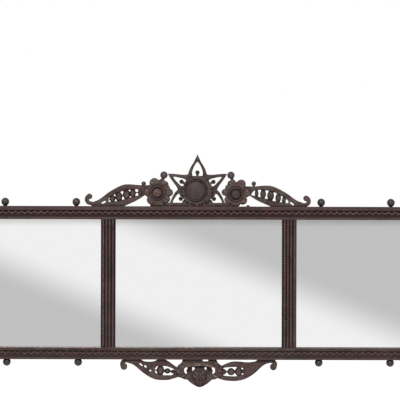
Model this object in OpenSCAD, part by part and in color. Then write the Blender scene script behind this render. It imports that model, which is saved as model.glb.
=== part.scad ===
// Three-pane overmantel mirror in dark carved hardwood. Millimetres, +Z up.
// The front faces -Y. The wall is the plane y = 0. The origin is the middle of
// the bottom rail's back face, the long flat face that rests on the wall.

/* [Frame] */
// Width over the ends of the rails
frame_w = 1500; // [1240:10:1860]
// Height from the bottom rail's lower edge to the top rail's upper edge
frame_h = 500; // [410:5:620]
// Depth of the rails, from the wall to their front face
frame_d = 34; // [28:1:44]
// Height of the top rail's face
rail_h = 43; // [40:1:54]
// Height of the bottom rail's face
bottom_rail_h = 38.5; // [35:0.5:48]
// Width of each mullion
mullion_w = 47; // [41:1:58]
// Width of each outer stile
stile_w = 45; // [42:1:60]
// Distance between the middles of the two mullions
mullion_spacing = 592; // [480:1:720]
// How far the mullions and stiles stand behind the rails' face
post_set_back = 2; // [1:0.5:4]
// Radius on the rails' long front corners
arris_r = 2; // [1:0.5:3]

/* [Glass and backing] */
// Width of the rebate that holds each glass
rebate_w = 8; // [6:0.5:10]
// Depth of the rebate from the back
rebate_d = 14; // [12:0.5:16]
// Space left round the glass and the backboard in the rebate
glass_gap = 1; // [0.5:0.25:2]
// Thickness of the silvered glass
glass_t = 4; // [3:0.5:5]
// Thickness of each backboard
board_t = 6; // [4:0.5:7]
// Diameter of the sprigs that hold the backboards in
sprig_d = 1.6; // [1.2:0.1:2]
// Length of a sprig, half of it in the frame
sprig_l = 16; // [12:1:20]

/* [Joinery] */
// Width of the posts' tenons
tenon_w = 26; // [20:1:32]
// Thickness of the tenons
tenon_t = 10; // [8:0.5:12]
// Length of the tenons
tenon_l = 20; // [14:1:26]
// Diameter of the dowels that hold the crest and the apron
dowel_d = 8; // [6:0.5:9]
// How deep a dowel goes into a rail
dowel_in_rail = 13; // [9:1:16]
// How deep a dowel goes into a carving
dowel_in_carving = 9; // [6:0.5:10]
// Glue line round each peg and tenon
glue_gap = 0.05; // [0.03:0.01:0.1]
// Gap between carvings that butt against each other
carving_gap = 0.15; // [0.1:0.05:0.3]

/* [Waved slips] */
// Height of the sunk channel in a rail's face
channel_h = 23; // [18:0.5:26]
// Plain wood above the top rail's channel
channel_drop = 12.5; // [9:0.5:14]
// Plain wood above the bottom rail's channel
bottom_channel_drop = 9; // [8:0.5:12]
// Depth of the channel
channel_d = 6; // [4:0.5:8]
// Plain wood left between the end of the channel and the end of the rail
channel_stop = 14; // [8:1:40]
// Height of the waved slip planted in the channel
slip_h = 13; // [10:0.5:15]
// Distance of the slip below the channel's upper edge
slip_drop = 2.5; // [1:0.5:6]
// Thickness of the slip
slip_t = 5; // [3:0.5:6]
// Length of one wave
wave_pitch = 21; // [16:0.5:26]
// Radius of the gouge cuts that leave the wave
gouge_r = 6.2; // [4.5:0.1:6.6]

/* [Reeds on the posts] */
// Depth of the ground between the reeds
reed_sunk = 6; // [4:0.5:8]
// Radius of the two inner reeds
inner_reed_r = 3.9; // [2.5:0.1:4.2]
// Distance of the inner reeds from the post's middle
inner_reed_at = 5.4; // [4.4:0.1:7]
// Radius of the two outer reeds
outer_reed_r = 3; // [1.5:0.1:3.4]
// Distance of the outer reeds from the post's middle
outer_reed_at = 15.6; // [13:0.1:17]
// Length of the plain block left at each end of the reeds
reed_stop = 5; // [3:1:30]

/* [Turned balls] */
// Diameter of the balls along the rails
ball_d = 26; // [21:0.5:27]
// Distances of the two top balls on the left from the middle
left_ball_at = [401, 633.5];
// Distances of the two top balls on the right from the middle
right_ball_at = [400, 628];
// Distances of the bottom balls from the middle
bottom_ball_at = [393.5, 627];
// Height of a top ball's middle above the rail
top_ball_rise = 13.8; // [13.6:0.1:18]
// Distance of a bottom ball's middle below the rail
bottom_ball_drop = 10.3; // [9:0.1:13]
// Diameter of the ball's peg
ball_peg_d = 7; // [5:0.5:9]
// Length of the ball's peg in the rail
ball_peg_l = 14; // [9:0.5:16]
// Radius of the flared foot under a top ball
ball_foot_r = 7; // [5:0.5:9]
// Distance right of the middle of the stub of a lost ball
stub_at = 161; // [150:1:175]
// Radius of the stub's head
stub_r = 6.5; // [4:0.5:8]
// Height of the stub above the rail
stub_rise = 5; // [2:0.5:6]

/* [Crest] */
// Sideways place of the crest's middle
crest_x = -5; // [-8:1:8]
// Distance from the wall to the back of the crest
crest_back = 8; // [4:1:10]
// Thickness of the crest boards
crest_t = 16; // [12:1:18]
// Height of the star's middle above the top rail
hub_rise = 50.5; // [46:0.5:60]
// Radius of the hub with its lumpy edge
hub_r = 51; // [44:0.5:54]
// Thickness of the hub
hub_t = 8; // [6:0.5:10]
// Radius of the smooth boss in the hub
boss_r = 29; // [24:0.5:32]
// Height of the boss's dome
boss_rise = 7; // [5:0.5:10]
// How far the boss sits from the hub's middle, across and up
boss_shift = [-5, 1.5];
// Length of the three wide petals from the star's middle
wide_petal_l = 119.5; // [100:0.5:140]
// Length of the two narrow petals from the star's middle
narrow_petal_l = 112.5; // [95:0.5:130]
// Height of the strip that the star stands on
plinth_h = 12; // [11:0.5:16]
// Diameter of the small balls round the hub
stamen_d = 14.6; // [10:0.2:16]
// Distance of the stamen balls from the star's middle
stamen_at = 60; // [59:0.5:66]

/* [Rosettes] */
// Distance of the rosettes from the crest's middle
rosette_at = 127.5; // [118:0.5:150]
// Height of a rosette's middle above the rail
rosette_rise = 43.7; // [38:0.5:50]
// Radius over a rosette's lobes
rosette_r = 48; // [42:0.5:52]
// Radius of the raised ring in a rosette
ring_r = 21; // [17:0.5:24]
// Radius of the dome in the ring
dome_r = 14.5; // [11:0.5:17]
// How far the left rosette's ring sits outwards and up from its middle
left_ring_shift = [3, 0];
// How far the right rosette's ring sits outwards and up from its middle
right_ring_shift = [-2, -4.5];
// How far the left dome sits outwards in its ring
left_dome_shift = 2.5; // [0:0.5:3]
// Diameter of the ball on each rosette
crown_ball_d = 24.5; // [19:0.5:27]
// Gap between that ball and its lobe
crown_gap = 0.8; // [0.5:0.1:3]
// Direction of that ball from the rosette's middle, from the outer side
crown_angle = 107; // [100:1:115]

/* [Crest wings] */
// Length of the left wing from its root to the end of its scroll
left_wing_l = 202; // [170:1:246]
// Height of the left wing
left_wing_h = 71.5; // [60:0.5:86]
// Length of the right wing from its root to the end of its scroll
right_wing_l = 205; // [170:1:246]
// Height of the right wing
right_wing_h = 68.5; // [58:0.5:82]
// Radius of the ball that ends a wing's scroll
scroll_ball_r = 9.3; // [7:0.1:10]
// How far a bead runs into the edge of its window
bead_bite = 2; // [1:0.25:3]
// Diameter of the pearl at each wing's root
pearl_d = 15; // [12:0.5:16]

/* [Apron] */
// Sideways place of the apron's middle
apron_x = 4; // [-8:1:8]
// Distance from the wall to the back of the apron
apron_back = 9; // [5:1:12]
// Thickness of the apron boards
apron_t = 14; // [12:1:18]
// Half the width of the flower
flower_half_w = 76; // [66:0.5:90]
// Drop of the flower's tip below the rail
flower_drop = 91; // [78:0.5:108]
// Length of the left apron wing from the flower's side
left_apron_wing_l = 189; // [156:1:226]
// Length of the right apron wing from the flower's side
right_apron_wing_l = 182; // [152:1:218]
// Drop of the left apron wing's belly below the rail
left_apron_wing_drop = 68.5; // [57:0.5:82]
// Drop of the right apron wing's belly below the rail
right_apron_wing_drop = 71; // [59:0.5:85]
// Radius of the ball that ends an apron scroll
apron_ball_r = 10.8; // [8:0.1:12]
// Thickness of the bud carved in front of the flower
bud_t = 9; // [6:0.5:12]

/* [Hangers] */
// Height of the rings' pivots above the bottom rail's middle
hanger_z = 370; // [250:1:390]
// Width of the strap
strap_w = 16; // [12:1:20]
// Thickness of the strap
strap_t = 1.5; // [1:0.1:2]
// Length of the strap below the pivot
strap_l = 58; // [50:1:70]
// Radius of the ring's wire
wire_r = 1.4; // [1:0.1:1.8]
// Width inside the ring
ring_in_w = 24; // [18:1:30]
// Length of the ring's straight sides
ring_side = 8; // [4:0.5:12]
// Running clearance round the wire in the strap's eye
eye_gap = 0.1; // [0.05:0.01:0.1]
// Radius of a hanger screw's shank
screw_r = 1.5; // [1.2:0.1:1.8]
// Length of a hanger screw's shank
screw_l = 14; // [10:0.5:18]

/* [Hidden] */
$fn = 48;

LEFT = -1;
RIGHT = 1;
SIDES = [LEFT, RIGHT];
// Overshoot that keeps a cutter's faces off the faces it cuts
cut = 1;
wood = "#4a3c3a";
dark_wood = "#3a2f2e";
worn_wood = "#57493f";
ball_wood = "#332e2f";
silvered = "#d7dadb";
pale_pine = "#b79f78";
steel = "#8b8c8e";
brass = "#a98b4c";

rail_bottom = -bottom_rail_h / 2;
rail_top = rail_bottom + frame_h;
sight_h = frame_h - rail_h - bottom_rail_h;
sight_z = rail_bottom + bottom_rail_h + sight_h / 2;
post_d = frame_d - post_set_back;
mullion_x = mullion_spacing / 2;
stile_x = (frame_w - stile_w) / 2;
centre_sight_w = mullion_spacing - mullion_w;
side_sight_w = stile_x - mullion_x - (stile_w + mullion_w) / 2;
side_pane_x = mullion_x + (mullion_w + side_sight_w) / 2;
// Each pane's middle and sight width, from left to right
PANES = [[-side_pane_x, side_sight_w], [0, centre_sight_w], [side_pane_x, side_sight_w]];
PANE_LEFT = 0;
PANE_CENTRE = 1;
PANE_RIGHT = 2;
// Shares of a pane's half width at which the sprigs stand along its long edges
SPRIG_SHARES = [-0.6, 0, 0.6];
sprig_y = -rebate_d + glass_t + board_t + sprig_d / 2 + 0.02;

tenon_back = rebate_d + 1;
ball_y = -frame_d / 2;

crest_dowel_y = -crest_back - crest_t / 2;
apron_dowel_y = -apron_back - apron_t / 2;
petal_root = hub_r + 2;
// Round webs of wood beside the hub, seen from the star's middle: across, up, radius
STAR_WEBS = [[50.5, -10.5, 8.5], [38.5, -38.5, 11.5]];
petal_half_w = petal_root * tan(30);
// Lobes of each rosette: direction from the outer side, reach and radius as shares of its radius
LEFT_LOBES = [[4, 0.98, 0.33], [68, 1.07, 0.34], [108, 1, 0.25], [128, 0.97, 0.22], [150, 0.88, 0.2],
              [178, 1, 0.26], [218, 0.95, 0.26], [266, 0.98, 0.32], [315, 0.99, 0.32]];
RIGHT_LOBES = [[4, 0.98, 0.33], [62, 1.01, 0.31], [110, 0.99, 0.22], [122, 0.97, 0.2], [146, 0.88, 0.2],
               [176, 1.01, 0.24], [220, 0.98, 0.28], [266, 0.98, 0.32], [312, 0.96, 0.3]];
rosette_core = 0.76;
// How far outwards each rosette's foot stands on the rail
left_rosette_foot = 27;
right_rosette_foot = 5;
rosette_foot_h = 14;
foot_back = 20;
hub_lumps = 24;
hub_lump_r = 6.2;
hub_peg_r = 5;
dome_peg_r = 4;
stalk_r = 3;
stalk_in = 6;
LOW_ANGLES = [-30, -150];
NARROW_ANGLES = [30, 150];
STAMEN_ANGLES = [90, 29.5, 150, -25.5, -154.5];
// Petal edges: share of the way from root to tip, share of the root's half width
WIDE_EDGE = [[0, 1], [0.165, 0.93], [0.42, 0.67], [0.595, 0.42], [0.82, 0.19], [1, 0]];
WIDE_HOLE = [[-0.11, 0.48], [0.03, 0.56], [0.165, 0.55], [0.34, 0.42], [0.5, 0.25], [0.65, 0]];
NARROW_EDGE = [[0, 1], [0.15, 0.78], [0.32, 0.61], [0.52, 0.45], [0.78, 0.23], [1, 0]];
NARROW_HOLE = [[-0.1, 0.34], [0.02, 0.4], [0.155, 0.36], [0.31, 0.27], [0.48, 0.165], [0.67, 0]];
// Widths of the narrow petals and of the low petals and their holes, against the top petal's
narrow_petal_w = 1.06;
low_petal_w = 1.16;
low_hole_w = 1.3;

wing_root = rosette_at + rosette_r - 10;
// Wing outline and windows: shares of the wing's length and height, and the windows' half heights
WING_TOP = [[-0.08, 0.98], [0.03, 0.965], [0.13, 0.97], [0.26, 1], [0.37, 0.985], [0.48, 0.86],
            [0.62, 0.63], [0.71, 0.43], [0.79, 0.28], [0.88, 0.18]];
WING_UNDER = [[0.38, -0.02], [0.27, 0.12], [0.18, 0.24], [0.09, 0.39], [0.015, 0.53], [-0.08, 0.6]];
LEFT_WING_WINDOW = [[0.045, 0.55, 0], [0.11, 0.63, 0.12], [0.22, 0.6, 0.165], [0.33, 0.535, 0.185],
                    [0.44, 0.455, 0.19], [0.53, 0.365, 0.15], [0.61, 0.287, 0.09], [0.637, 0.25, 0]];
RIGHT_WING_WINDOW = [[0.045, 0.55, 0], [0.11, 0.64, 0.13], [0.22, 0.61, 0.18], [0.33, 0.545, 0.205],
                     [0.44, 0.45, 0.2], [0.53, 0.36, 0.155], [0.63, 0.245, 0.075], [0.65, 0.2, 0]];
// Band width of the scrolls, and the shares of length at which their curls turn
scroll_w = 12.5;
wing_curl_at = 0.913;
wing_curl_r = 18.5;
wing_curl_end = 78;
wing_ball_at = 0.93;
// How far each wing's curl stands clear of the rail, and the height of its ball
left_curl = [4, 31.6];
right_curl = [0, 27];
// Beads in the windows: share of the wing's length, half width
LEFT_WING_BEADS = [[0.111, 5.8], [0.226, 8.4], [0.329, 10.8], [0.453, 10.2], [0.555, 7.6]];
RIGHT_WING_BEADS = [[0.139, 5.6], [0.242, 9.2], [0.362, 10.8], [0.483, 8.8], [0.574, 6.2]];
// Half height of the stem that threads the beads of the left wing and the apron wings
stem_half_h = 1.8;
// Slot beyond each window: share of length, share of height, turn
left_wing_slot = [0.697, 0.175, 66];
right_wing_slot = [0.703, 0.142, 56];
wing_slot_r = 2.7;
wing_slot_l = 16;
// Each pearl's foot: distance from its wing's root, height above the rail
left_pearl_at = [10.3, 65.3];
right_pearl_at = [19, 66.3];
pearl_rise = pearl_d / 2 + 1.2;
pearl_stalk_in = 8;

// Flower outline: shares of its half width and of its drop
FLOWER_EDGE = [[0.72, 0], [0.8, 0.14], [0.95, 0.25], [1, 0.44], [0.93, 0.62], [0.8, 0.67], [0.66, 0.72],
               [0.53, 0.74], [0.42, 0.82], [0.31, 0.89], [0.18, 0.955], [0.06, 1]];
FLOWER_EYE = [[0.2, 0.32], [0.34, 0.285], [0.54, 0.285], [0.645, 0.33], [0.66, 0.45], [0.6, 0.525],
              [0.53, 0.51], [0.4, 0.49], [0.28, 0.41]];
BUD_EDGE = [[0.06, 0.3], [0.2, 0.36], [0.29, 0.47], [0.3, 0.6], [0.22, 0.76], [0.1, 0.9], [0.03, 0.95]];
flower_eye_ball = [0.465, 0.425];
flower_ball_r = 8;
// Half the width of the neck that the eye's ball hangs from
flower_neck = 4.6;
// The flower stands off the rail along this stretch
relief_x = [10, 28];
relief_h = 7.5;
apron_root = flower_half_w - 8;
// Apron wing outlines, windows and beads: shares of each wing's length and drop
LEFT_APRON_TOP = [[-0.05, 0.48], [0.054, 0.355], [0.18, 0.11], [0.25, 0.022], [0.307, -0.03], [0.365, 0.025],
                  [0.422, 0.102], [0.52, 0.137], [0.617, 0.095], [0.677, -0.03]];
RIGHT_APRON_TOP = [[-0.05, 0.42], [0.02, 0.308], [0.104, 0.206], [0.176, 0.137], [0.26, 0.106],
                   [0.355, 0.115], [0.474, 0.146], [0.593, 0.12], [0.647, 0.073], [0.68, -0.03]];
LEFT_APRON_UNDER = [[0.88, 0.19], [0.836, 0.216], [0.778, 0.286], [0.721, 0.412], [0.64, 0.603], [0.56, 0.762],
                    [0.468, 0.904], [0.376, 0.984], [0.27, 1], [0.17, 0.984], [0.088, 0.92], [0.008, 0.857],
                    [-0.05, 0.84]];
RIGHT_APRON_UNDER = [[0.88, 0.18], [0.832, 0.196], [0.773, 0.272], [0.701, 0.43], [0.629, 0.61], [0.533, 0.785],
                     [0.438, 0.908], [0.319, 0.986], [0.2, 1], [0.08, 0.972], [-0.04, 0.88]];
LEFT_APRON_WINDOW = [[0.06, 0.53, 0], [0.106, 0.6, 0.15], [0.192, 0.568, 0.209], [0.309, 0.543, 0.225],
                     [0.385, 0.53, 0.17], [0.43, 0.56, 0]];
RIGHT_APRON_WINDOW = [[0.02, 0.62, 0], [0.056, 0.578, 0.165], [0.128, 0.575, 0.205], [0.247, 0.572, 0.22],
                      [0.331, 0.569, 0.199], [0.402, 0.554, 0.153], [0.444, 0.545, 0]];
// Beads on each window's stem: share of the length, half width, half height
LEFT_APRON_BEADS = [[0.1, 5, 5.5], [0.192, 8.2, 8.6], [0.314, 11, 17]];
RIGHT_APRON_BEADS = [[0.063, 7.8, 8.4], [0.197, 10.6, 11.6], [0.333, 10.4, 16], [0.415, 5, 6]];
// Slots beyond the left window: share of length, share of drop, radius, length, turn
LEFT_APRON_SLOTS = [[0.656, 0.27, 2.6, 14, 53], [0.579, 0.355, 3.6, 9.5, 35], [0.495, 0.555, 3.2, 7.6, 35]];
apron_curl_at = 0.925;
apron_curl_r = 17.5;
apron_curl_end = 42;
// Share of the length, and drop, of the ball that ends an apron curl
apron_ball_at = [0.951, 24.7];
crest_dowel_at = [40, rosette_at, wing_root + 0.47 * right_wing_l];
apron_dowel_at = [flower_half_w * 0.62, apron_root + 0.8 * right_apron_wing_l];

hanger_x = frame_w / 2 - (stile_w - rebate_w) / 2;
eye_r = wire_r + eye_gap + strap_t;
eye_y = eye_r + 0.6;
ring_half = ring_in_w / 2 + wire_r;
screw_drops = [ring_side + ring_half + wire_r + 9, strap_l - 8];
head_r = 3.2;
head_h = 1.8;

// --- Curves -----------------------------------------------------------------

function at(p, i) = p[max(0, min(len(p) - 1, i))];

function blend(a, b, c, d, t) =
    0.5 * (2 * b + (c - a) * t + (2 * a - 5 * b + 4 * c - d) * t * t + (3 * b - a - 3 * c + d) * t * t * t);

// A smooth curve through the points, in n steps from each to the next
function smooth(p, n = 5) = concat(
    [for (i = [0 : len(p) - 2]) for (k = [0 : n - 1]) blend(at(p, i - 1), p[i], p[i + 1], at(p, i + 2), k / n)],
    [p[len(p) - 1]]);

function reversed(p) = [for (i = [len(p) - 1 : -1 : 0]) p[i]];

function scaled(p, w, h) = [for (q = p) [q.x * w, q.y * h]];

// The points and their mirror image, as one closed outline
function with_mirror(p) = concat(p, [for (q = reversed(p)) [-q.x, q.y]]);

// A window from its middle line and half heights, all shares of w and h
function window(p, w, h) = concat(
    smooth([for (q = p) [q.x * w, (q.y + q[2]) * h]]),
    reversed(smooth([for (q = p) [q.x * w, (q.y - q[2]) * h]])));

function middle_at(p, x) = lookup(x, [for (q = p) [q.x, q.y]]);
function half_at(p, x) = lookup(x, [for (q = p) [q.x, q[2]]]);

// --- Helpers ----------------------------------------------------------------

// A board cut to the outline, standing on the XZ plane from y = -back forwards
module stand(back, t) {
    translate([0, -back, 0]) rotate([90, 0, 0]) linear_extrude(t) children();
}

// A round bar upwards from the point
module peg(p, r, l) {
    translate(p) cylinder(r = r, h = l);
}

// A round bar along Y from the point, backwards
module rod_back(p, r, l) {
    translate(p) rotate([-90, 0, 0]) cylinder(r = r, h = l);
}

// What is drawn for the right side, moved to the given side
module on_side(side) {
    if (side == LEFT) mirror([1, 0, 0]) children();
    else children();
}

module flat_on_side(side) {
    if (side == LEFT) mirror([1, 0]) children();
    else children();
}

module above(h, w = 2000) {
    intersection() {
        children();
        translate([-w, h]) square([2 * w, w]);
    }
}

module crest_place() {
    translate([crest_x, 0, rail_top]) children();
}

module apron_place() {
    translate([apron_x, 0, rail_bottom]) children();
}

// --- Frame ------------------------------------------------------------------

// Section of a rail: the rebate is at its lower back corner
module rail_section(h) {
    difference() {
        translate([-frame_d, 0]) square([frame_d, h]);
        translate([-rebate_d, -cut]) square([rebate_d + cut, rebate_w + cut]);
        for (z = [0, h]) translate([-frame_d, z]) mirror([0, z > 0 ? 1 : 0]) corner_waste(arris_r);
    }
}

module corner_waste(r) {
    difference() {
        translate([-cut, -cut]) square(r + cut);
        translate([r, r]) circle(r);
    }
}

// A rail lying with its lower edge at z = 0, before any pegs are bored
module rail_blank(h, channel_z) {
    difference() {
        translate([-frame_w / 2, 0, 0]) rotate([90, 0, 90]) linear_extrude(frame_w) rail_section(h);
        translate([-frame_w / 2 + channel_stop, -frame_d - cut, channel_z])
            cube([frame_w - 2 * channel_stop, channel_d + cut, channel_h]);
        for (x = [-stile_x, -mullion_x, mullion_x, stile_x])
            translate([x - tenon_w / 2 - glue_gap, -tenon_back - tenon_t - glue_gap, -cut])
                cube([tenon_w + 2 * glue_gap, tenon_t + 2 * glue_gap, tenon_l + cut + 0.5]);
        for (pane = PANES) for (s = SPRIG_SHARES)
            peg([pane.x + s * pane.y / 2, sprig_y, rebate_w - cut], sprig_d / 2 + glue_gap,
                sprig_l / 2 + cut + 0.5);
    }
}

module top_rail() {
    color(wood) difference() {
        translate([0, 0, rail_top - rail_h]) rail_blank(rail_h, rail_h - channel_drop - channel_h);
        for (side = SIDES) for (x = crest_dowel_at)
            peg([crest_x + side * x, crest_dowel_y, rail_top - dowel_in_rail - 0.5],
                dowel_d / 2 + glue_gap, dowel_in_rail + cut);
        for (x = left_ball_at) ball_hole(-x);
        for (x = right_ball_at) ball_hole(x);
        ball_hole(stub_at);
    }
}

// The hole for a top ball's peg
module ball_hole(x) {
    peg([x, ball_y, rail_top - ball_peg_l - 0.5], ball_peg_d / 2 + glue_gap, ball_peg_l + cut);
}

module bottom_rail() {
    color(worn_wood) difference() {
        translate([0, 0, rail_bottom + bottom_rail_h]) mirror([0, 0, 1])
            rail_blank(bottom_rail_h, bottom_channel_drop);
        for (side = SIDES) for (x = apron_dowel_at)
            peg([apron_x + side * x, apron_dowel_y, rail_bottom - cut], dowel_d / 2 + glue_gap,
                dowel_in_rail + cut + 0.5);
        for (side = SIDES) for (x = bottom_ball_at)
            peg([side * x, ball_y, rail_bottom - cut], ball_peg_d / 2 + glue_gap, ball_peg_l + cut + 0.5);
    }
}

module reed_section(w) {
    translate([-w / 2, -post_d + reed_sunk]) square([w, post_d - reed_sunk - rebate_d]);
    for (side = SIDES) {
        reed(side * inner_reed_at, inner_reed_r);
        reed(side * outer_reed_at, outer_reed_r);
    }
}

module reed(x, r) {
    translate([x - r, -post_d + r]) square([2 * r, reed_sunk - r + cut]);
    translate([x, -post_d + r]) circle(r);
}

// A reeded post. Its back half is longer and fills the rails' rebates.
module post(w, left_rebate, right_rebate) {
    inner_h = sight_h - 2 * reed_stop;
    back_h = sight_h + 2 * rebate_w;
    back_w = w - left_rebate - right_rebate;
    union() {
        translate([0, 0, sight_z - inner_h / 2]) linear_extrude(inner_h) reed_section(w);
        for (up = [0, 1])
            translate([-w / 2, -post_d, sight_z + (up ? inner_h / 2 : -sight_h / 2)])
                cube([w, post_d - rebate_d, reed_stop]);
        translate([-w / 2 + left_rebate, -rebate_d - cut, sight_z - sight_h / 2])
            cube([back_w, rebate_d + cut, sight_h]);
        translate([-w / 2 + left_rebate, -rebate_d, sight_z - back_h / 2])
            cube([back_w, rebate_d, back_h]);
        translate([-tenon_w / 2, -tenon_back - tenon_t, sight_z - sight_h / 2 - tenon_l])
            cube([tenon_w, tenon_t, sight_h + 2 * tenon_l]);
    }
}

module side_sprig_holes(x, inwards) {
    rotate_to = inwards > 0 ? 90 : -90;
    translate([x - inwards * cut, sprig_y, sight_z]) rotate([0, rotate_to, 0])
        cylinder(r = sprig_d / 2 + glue_gap, h = sprig_l / 2 + cut + 0.5);
}

module stile(side) {
    color(wood) on_side(side) difference() {
        translate([stile_x, 0, 0]) post(stile_w, rebate_w, 0);
        side_sprig_holes(stile_x - stile_w / 2 + rebate_w, 1);
        for (drop = screw_drops)
            rod_back([hanger_x, -screw_l - 0.5, hanger_z - drop], screw_r + glue_gap, screw_l + cut);
    }
}

module mullion(side) {
    color(wood) on_side(side) difference() {
        translate([mullion_x, 0, 0]) post(mullion_w, rebate_w, rebate_w);
        side_sprig_holes(mullion_x - mullion_w / 2 + rebate_w, 1);
        side_sprig_holes(mullion_x + mullion_w / 2 - rebate_w, -1);
    }
}

module left_stile() { stile(LEFT); }
module right_stile() { stile(RIGHT); }
module left_mullion() { mullion(LEFT); }
module right_mullion() { mullion(RIGHT); }

// A wave left standing between gouge cuts that bite from above and below in turn, with the
// upper edge of its channel at the given height
module waved_slip(channel_top) {
    slip_l = frame_w - 2 * channel_stop - 2;
    waves = floor(slip_l / wave_pitch / 2);
    color(dark_wood) translate([0, 0, channel_top - slip_drop - slip_h / 2])
        stand(frame_d - channel_d, slip_t) difference() {
            translate([-slip_l / 2, -slip_h / 2]) square([slip_l, slip_h]);
            for (i = [-waves : waves]) {
                translate([i * wave_pitch, gouge_r - 0.3]) circle(gouge_r);
                translate([(i + 0.5) * wave_pitch, 0.3 - gouge_r]) circle(gouge_r);
            }
        }
}

module top_waved_slip() { waved_slip(rail_top - channel_drop); }
module bottom_waved_slip() { waved_slip(rail_bottom + bottom_rail_h - bottom_channel_drop); }

// --- Glass and backing ------------------------------------------------------

// A sheet that fills a pane's rebate, with its front at the given depth
module sheet(pane, front, t) {
    fit = rebate_w - glass_gap;
    w = PANES[pane].y + 2 * fit;
    h = sight_h + 2 * fit;
    translate([PANES[pane].x - w / 2, -front, sight_z - h / 2]) cube([w, t, h]);
}

module left_mirror_glass() { color(silvered) sheet(PANE_LEFT, rebate_d, glass_t); }
module centre_mirror_glass() { color(silvered) sheet(PANE_CENTRE, rebate_d, glass_t); }
module right_mirror_glass() { color(silvered) sheet(PANE_RIGHT, rebate_d, glass_t); }
module left_backboard() { color(pale_pine) sheet(PANE_LEFT, rebate_d - glass_t, board_t); }
module centre_backboard() { color(pale_pine) sheet(PANE_CENTRE, rebate_d - glass_t, board_t); }
module right_backboard() { color(pale_pine) sheet(PANE_RIGHT, rebate_d - glass_t, board_t); }

module backboard_sprigs() {
    edge_z = sight_h / 2 + rebate_w;
    color(steel) for (pane = PANES) {
        for (s = SPRIG_SHARES) for (up = [-1, 1])
            peg([pane.x + s * pane.y / 2, sprig_y, sight_z + up * edge_z - sprig_l / 2], sprig_d / 2, sprig_l);
        for (side = SIDES)
            translate([pane.x + side * (pane.y / 2 + rebate_w) - sprig_l / 2, sprig_y, sight_z])
                rotate([0, 90, 0]) cylinder(r = sprig_d / 2, h = sprig_l);
    }
}

// --- Turned balls -----------------------------------------------------------

// A ball on its peg, with a flared foot or a flat seat, standing on z = 0
module ball_on_foot(rise, foot_r) {
    r = ball_d / 2;
    neck_r = ball_peg_d / 2 + 0.6;
    foot_h = 1.6;
    peg([0, 0, -ball_peg_l], ball_peg_d / 2, ball_peg_l + foot_h);
    if (foot_r > 0) {
        cylinder(r = foot_r, h = foot_h);
        translate([0, 0, foot_h]) cylinder(r1 = foot_r - 0.8, r2 = neck_r, h = 3);
    }
    cylinder(r = neck_r, h = rise);
    intersection() {
        translate([0, 0, rise]) sphere(r);
        cylinder(r = ball_d, h = rise + ball_d);
    }
}

module top_ball(x) {
    color(ball_wood) translate([x, ball_y, rail_top]) ball_on_foot(top_ball_rise, ball_foot_r);
}

module bottom_ball(x) {
    color(ball_wood) translate([x, ball_y, rail_bottom]) mirror([0, 0, 1]) ball_on_foot(bottom_ball_drop, 0);
}

// What is left of a broken ball: its worn head and its peg
module lost_ball_stub() {
    dome = (stub_r * stub_r + stub_rise * stub_rise) / 2 / stub_rise;
    color(ball_wood) translate([stub_at, ball_y, rail_top]) {
        peg([0, 0, -ball_peg_l], ball_peg_d / 2, ball_peg_l + 1);
        intersection() {
            translate([0, 0, stub_rise - dome]) sphere(dome);
            cylinder(r = stub_r, h = stub_rise + cut);
        }
    }
}

module top_ball_far_left() { top_ball(-left_ball_at[1]); }
module top_ball_left() { top_ball(-left_ball_at[0]); }
module top_ball_right() { top_ball(right_ball_at[0]); }
module top_ball_far_right() { top_ball(right_ball_at[1]); }
module bottom_ball_far_left() { bottom_ball(-bottom_ball_at[1]); }
module bottom_ball_left() { bottom_ball(-bottom_ball_at[0]); }
module bottom_ball_right() { bottom_ball(bottom_ball_at[0]); }
module bottom_ball_far_right() { bottom_ball(bottom_ball_at[1]); }

// --- Crest ------------------------------------------------------------------

// One side of a petal, pointing up from the star's middle
function petal_side(edge, l, w) =
    smooth([for (e = edge) [petal_half_w * w * e.y, petal_root + e.x * (l - petal_root)]]);

module petal(edge, hole, l, angle, w = 1, hole_w = 1) {
    rotate(angle - 90) difference() {
        polygon(concat([[0, 0]], with_mirror(petal_side(edge, l, w))));
        polygon(with_mirror(petal_side(hole, l, hole_w)));
    }
}

module star_outline() {
    difference() {
        union() {
            above(0) translate([0, hub_rise]) {
                petal(WIDE_EDGE, WIDE_HOLE, wide_petal_l, 90);
                for (a = LOW_ANGLES) petal(WIDE_EDGE, WIDE_HOLE, wide_petal_l, a, low_petal_w, low_hole_w);
                for (a = NARROW_ANGLES) petal(NARROW_EDGE, NARROW_HOLE, narrow_petal_l, a, narrow_petal_w);
                circle(hub_r - 3);
                for (side = SIDES) for (web = STAR_WEBS) translate([side * web.x, web.y]) circle(web[2]);
            }
            translate([-rosette_at, 0]) square([2 * rosette_at, plinth_h]);
        }
        for (side = SIDES) flat_on_side(side) rosette_outline(side, carving_gap);
    }
}

// The boss's middle at a distance in front of the wall
function boss_at(front) = [boss_shift.x, -front, hub_rise + boss_shift.y];

module crest_star() {
    color(wood) difference() {
        crest_place() stand(crest_back, crest_t) star_outline();
        crest_dowels_at(crest_dowel_at[0], glue_gap);
        crest_place() rod_back(boss_at(crest_back + crest_t + cut), hub_peg_r + glue_gap,
                               crest_t / 2 + cut + 0.5);
    }
}

module crest_hub() {
    face = crest_back + crest_t;
    color(worn_wood) crest_place() difference() {
        union() {
            stand(face, hub_t) above(carving_gap) translate([0, hub_rise]) {
                circle(hub_r - hub_lump_r + 1);
                for (i = [0 : hub_lumps - 1]) rotate(i * 360 / hub_lumps)
                    translate([hub_r - hub_lump_r, 0]) circle(hub_lump_r);
            }
            translate(boss_at(face + hub_t)) rotate([90, 0, 0])
                rotate_extrude() translate([boss_r + 4, 0]) circle(2.4);
        }
        rod_back(boss_at(face + hub_t + cut), hub_peg_r + glue_gap, hub_t + 2 * cut);
        for (a = STAMEN_ANGLES) stamen_bar(a, hub_r - stalk_in - 0.5, hub_r + cut, stalk_r + glue_gap);
    }
}

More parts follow.
